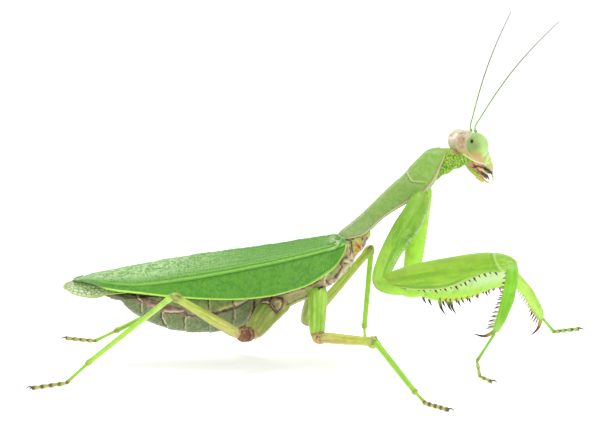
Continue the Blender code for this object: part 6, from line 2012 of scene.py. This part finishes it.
def grasping_leg(side):
    hand = -1 if side == "right" else 1
    draw = np.random.default_rng(31 + hand)
    name = "fore_" + side
    root, hip, knee, ankle, heel, ball, toe = [np.array(point) for point in POSE[name]]
    coxa_stations = RIGHT_FORE_COXA if side == "right" else LEFT_FORE_COXA
    far = 1.0 if side == "left" else 0.0
    coxa = limb(root, hip, coxa_stations, knee - hip, look_fore_coxa(0.85 * far), 170, 90)
    bar, _, bar_depth = limb_frame(root, hip, knee - hip)
    teeth = []
    for k in range(COXA_TEETH):
        share = 0.14 + 0.76 * (k + draw.uniform(-0.25, 0.25)) / (COXA_TEETH - 1.0)
        place = root + (hip - root) * share + bar_depth * (curve(column(coxa_stations, 3), share) - 0.05)
        size, thick = draw.uniform(0.3, 0.6) + 0.2 * far, 0.15 + 0.05 * far
        stops = GREEN_TOOTH_STOPS if far else TOOTH_STOPS
        teeth.append(spike(place, bar_depth + bar * 0.4, bar, size, thick, stops, 8, 8))
    piece("coxa_bar_" + name, [coxa] + teeth, leg_skin, ["coxa_" + name])
    along, across, depth = limb_frame(hip, knee, ankle - knee)
    fall = 0.47 if side == "right" else 0.2
    start, end = hip - along * 0.35 - depth * 0.2, hip + (along * 0.88 + depth * fall) * 4.6
    collar = limb(start, end, FORE_TROCHANTER, depth, look_fore_coxa(0.4 + 0.3 * far), 80, 60)
    piece("trochanter_ring_" + name, [collar], leg_skin, ["trochanter_" + name])
    stations = []
    for share, wide, back, front in FORE_FEMUR:
        fuller = front * (1.0 + 0.35 * far) + 0.75 * far * bell(share - 0.78, 0.2)
        stations.append((share, wide, back, fuller))
    outer = across if across[1] * hand > 0 else -across
    inner_sign = -1.0 if across[1] * hand > 0 else 1.0
    thigh = limb(hip, knee, stations, ankle - knee, look_fore_femur(inner_sign, 0.9, far), 240, 130)

    def thigh_spine(share, aside, size, stops, thick, forth=0.12):
        front = curve(column(stations, 3), share)
        wide = curve(column(stations, 1), share)
        out = front * math.sqrt(1.0 - aside * aside) - 0.1
        place = hip + (knee - hip) * share + depth * out + outer * (aside * wide)
        lean = depth * 0.9 + outer * (aside * 0.35) + along * forth
        return spike(place, lean, along, size, thick, stops)

    spines = []
    count, first, last, aside, short, tall = INNER_SPINES[side]
    for k in range(count):
        share = first + (last - first) * (k + draw.uniform(-0.12, 0.12)) / (count - 1)
        size = (tall if k % 2 else short) * draw.uniform(0.9, 1.1)
        spines.append(thigh_spine(share, aside, size, EMBER_STOPS, 0.27))
    if side == "left":
        for k, (share, size) in enumerate(LONG_SPINES):
            aside = 0.15 if k % 2 else -0.15
            spines.append(thigh_spine(share, aside, size, BLACK_STOPS, 0.22 + 0.02 * size, 0.36))
    piece("femur_thigh_" + name, [thigh], leg_skin, ["femur_" + name])
    piece("femur_spines_" + name, spines, horn, ["femur_" + name])
    shin, shin_across, shin_depth = limb_frame(knee, ankle, hip - knee)
    shin_outer = shin_across if shin_across[1] * hand > 0 else -shin_across
    shin_colour = (0.22, 0.58, 0.012) if side == "right" else (0.48, 0.82, 0.09)
    bar_part = limb(knee, ankle, FORE_TIBIA[side], hip - knee, look_fore_tibia(shin_colour), 170, 76)
    spines = []
    for count, first, last, aside in TIBIA_SPINES:
        for k in range(count):
            share = first + (last - first) * (k + draw.uniform(-0.1, 0.1)) / (count - 1)
            front = curve(column(FORE_TIBIA[side], 3), share)
            wide = curve(column(FORE_TIBIA[side], 1), share)
            place = knee + (ankle - knee) * share + shin_depth * (front * 0.72)
            place = place + shin_outer * (aside * wide)
            lean = shin_depth * 0.95 + shin * 0.3 + shin_outer * (aside * 0.3)
            stops = PALE_STOPS if side == "left" and share < 0.7 else SPINE_STOPS
            size = 0.7 * (1.0 + share**2 * 1.8) * draw.uniform(0.85, 1.1)
            spines.append(spike(place, lean, shin, size, 0.18, stops))
    if side == "left":
        place = knee + (ankle - knee) * 0.72 + shin_depth * 0.3
        spines.append(spike(place, shin + shin_depth * 0.35, shin, 2.3, 0.18, TOOTH_STOPS))
    hook_path = [ankle + shin * past + shin_depth * inward for past, inward, _ in HOOK]
    hook_radii = [(share, row[2]) for share, row in zip((0.0, 0.26, 0.62, 1.0), HOOK)]
    spines.append(tube(hook_path, hook_radii, 50, 24, shin, colour_marks(HOOK_STOPS)))
    piece("tibia_shin_" + name, [bar_part], leg_skin, ["tibia_" + name])
    piece("tibia_spines_" + name, spines, horn, ["tibia_" + name])
    start = ankle + unit(heel - ankle) * 0.2 + shin_outer * 0.35
    pad = (0.32, 0.24, 0.05) if side == "right" else (0.01, 0.02, 0.005)
    first_green, knob_green = (0.27, 0.6, 0.03), (0.42, 0.58, 0.1)
    feet = foot_parts([start, heel, ball, toe], (1, 2, 2), 0.82 + 0.12 * far, first_green, knob_green, pad)
    piece("foot_beads_" + name, feet, leg_skin, ["tarsus_" + name])


grasping_leg("right")
grasping_leg("left")

# %% [markdown]
# ## Walking legs
# The four slim legs carry the body. Their thighs run from pinkish beige at the hip to olive at the
# knee, the shins are leaf green, and a brown joint, the trochanter, sits between coxa and thigh. Two
# spurs end each shin.

# %% Walking legs
STRAW_GREEN, SAP, BROWN_GREEN = (0.44, 0.53, 0.06), (0.35, 0.68, 0.035), (0.3, 0.34, 0.06)
ORANGE, FLESH, REDDISH, TAN = (0.6, 0.34, 0.12), (0.6, 0.52, 0.22), (0.2, 0.065, 0.04), (0.5, 0.42, 0.18)
PEACH, RUSTY, LOWER_EDGE = (0.68, 0.5, 0.28), (0.34, 0.16, 0.07), (0.5, 0.4, 0.14)
# Coxa, thigh, its colours at hip, middle, knee and lower edge, colours of the shin and the trochanter.
WALKING = {
    "mid_right": (
        MID_COXA, MID_FEMUR,
        (FLESH, (0.56, 0.6, 0.08), (0.44, 0.55, 0.11), (0.6, 0.38, 0.14)), (SAP, SAP), (ORANGE, FLESH),
    ),
    "mid_left": (
        MID_COXA, MID_FEMUR,
        ((0.4, 0.46, 0.09), (0.42, 0.55, 0.07), (0.4, 0.46, 0.08), (0.62, 0.4, 0.13)), (SAP, SAP),
        (ORANGE, TAN),
    ),
    "hind_right": (
        HIND_COXA, HIND_FEMUR,
        ((0.52, 0.34, 0.17), STRAW_GREEN, BROWN_GREEN, LOWER_EDGE),
        ((0.5, 0.78, 0.12), (0.42, 0.74, 0.08)), (REDDISH, RUSTY),
    ),
    "hind_left": (
        HIND_COXA, HIND_FEMUR,
        (PEACH, STRAW_GREEN, BROWN_GREEN, LOWER_EDGE), ((0.46, 0.74, 0.08), SAP), (REDDISH, RUSTY),
    ),
}


SPUR_LENGTH, SPUR_THICKNESS, SPUR_SPREAD = 0.7, 0.14, 0.3


def walking_leg(name):
    root, hip, knee, ankle, heel, toe = [np.array(point) for point in POSE[name]]
    coxa_stations, femur_stations, femur_colours, tibia_colours, joint_colours = WALKING[name]
    ahead = np.array((1.0, 0.0, 0.0))
    hind, mirror = "hind" in name, 1.0 if "right" in name else -1.0
    side_step = np.array(HIND_STEP) * (1.0, mirror, 1.0) if hind else np.zeros(3)
    end = hip + side_step
    coxa_look = look_small_coxa(hind, "right" in name)
    coxa = limb(root, end, coxa_stations, ahead, coxa_look, 150, 110, FLANK_MARKS)
    piece("coxa_cone_" + name, [coxa], leg_skin, ["coxa_" + name])
    thigh, fall = unit(knee - hip), unit(hip - root)
    ring_stations = HIND_RING if hind else TROCHANTER
    reach = hip + fall * 0.2 + thigh * 1.3 if hind else hip + fall * 0.5 + thigh * 1.7
    ring = limb(end - fall * 0.5, reach, ring_stations, ahead, look_trochanter(*joint_colours), 100, 80)
    piece("trochanter_ring_" + name, [ring], leg_skin, ["trochanter_" + name])
    femur = limb(hip, knee, femur_stations, ankle - knee, look_femur(*femur_colours), 190, 50)
    piece("femur_bar_" + name, [femur], leg_skin, ["femur_" + name])
    shin = unit(ankle - knee)
    tibia = limb(knee, ankle, TIBIA, hip - knee, look_tibia(*tibia_colours), 190, 44)
    side_ways = unit(np.cross(shin, heel - ankle))
    spurs = []
    for hand in (-1, 1):
        place = ankle - shin * SPUR_LENGTH + side_ways * (SPUR_SPREAD * hand)
        spurs.append(spike(place, shin + side_ways * hand, shin, SPUR_LENGTH, SPUR_THICKNESS, PALE_STOPS))
    piece("tibia_bar_" + name, [tibia] + spurs, leg_skin, ["tibia_" + name])
    start = ankle - shin * 0.4
    colours = (0.35, 0.64, 0.04), (0.46, 0.5, 0.11), (0.17, 0.06, 0.025)
    feet = foot_parts([start, heel, toe], (1, 4), 0.95, *colours)
    piece("foot_beads_" + name, feet, leg_skin, ["tarsus_" + name])


for name in WALKING:
    walking_leg(name)

# %% [markdown]
# ## The last look at the sizes
# The dressed animal has to stay the size of its solids, so both boxes are measured and their top corners
# compared.

# %% Compare the boxes and finish
dressed_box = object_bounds()
sizes = {"cad": [list(corner) for corner in solid_box], "visual": [list(corner) for corner in dressed_box]}
with_gap = [round((b - a) / MM, 2) for a, b in zip(sizes["cad"][1], sizes["visual"][1])]
print("top corner moved by, in mm:", with_gap)
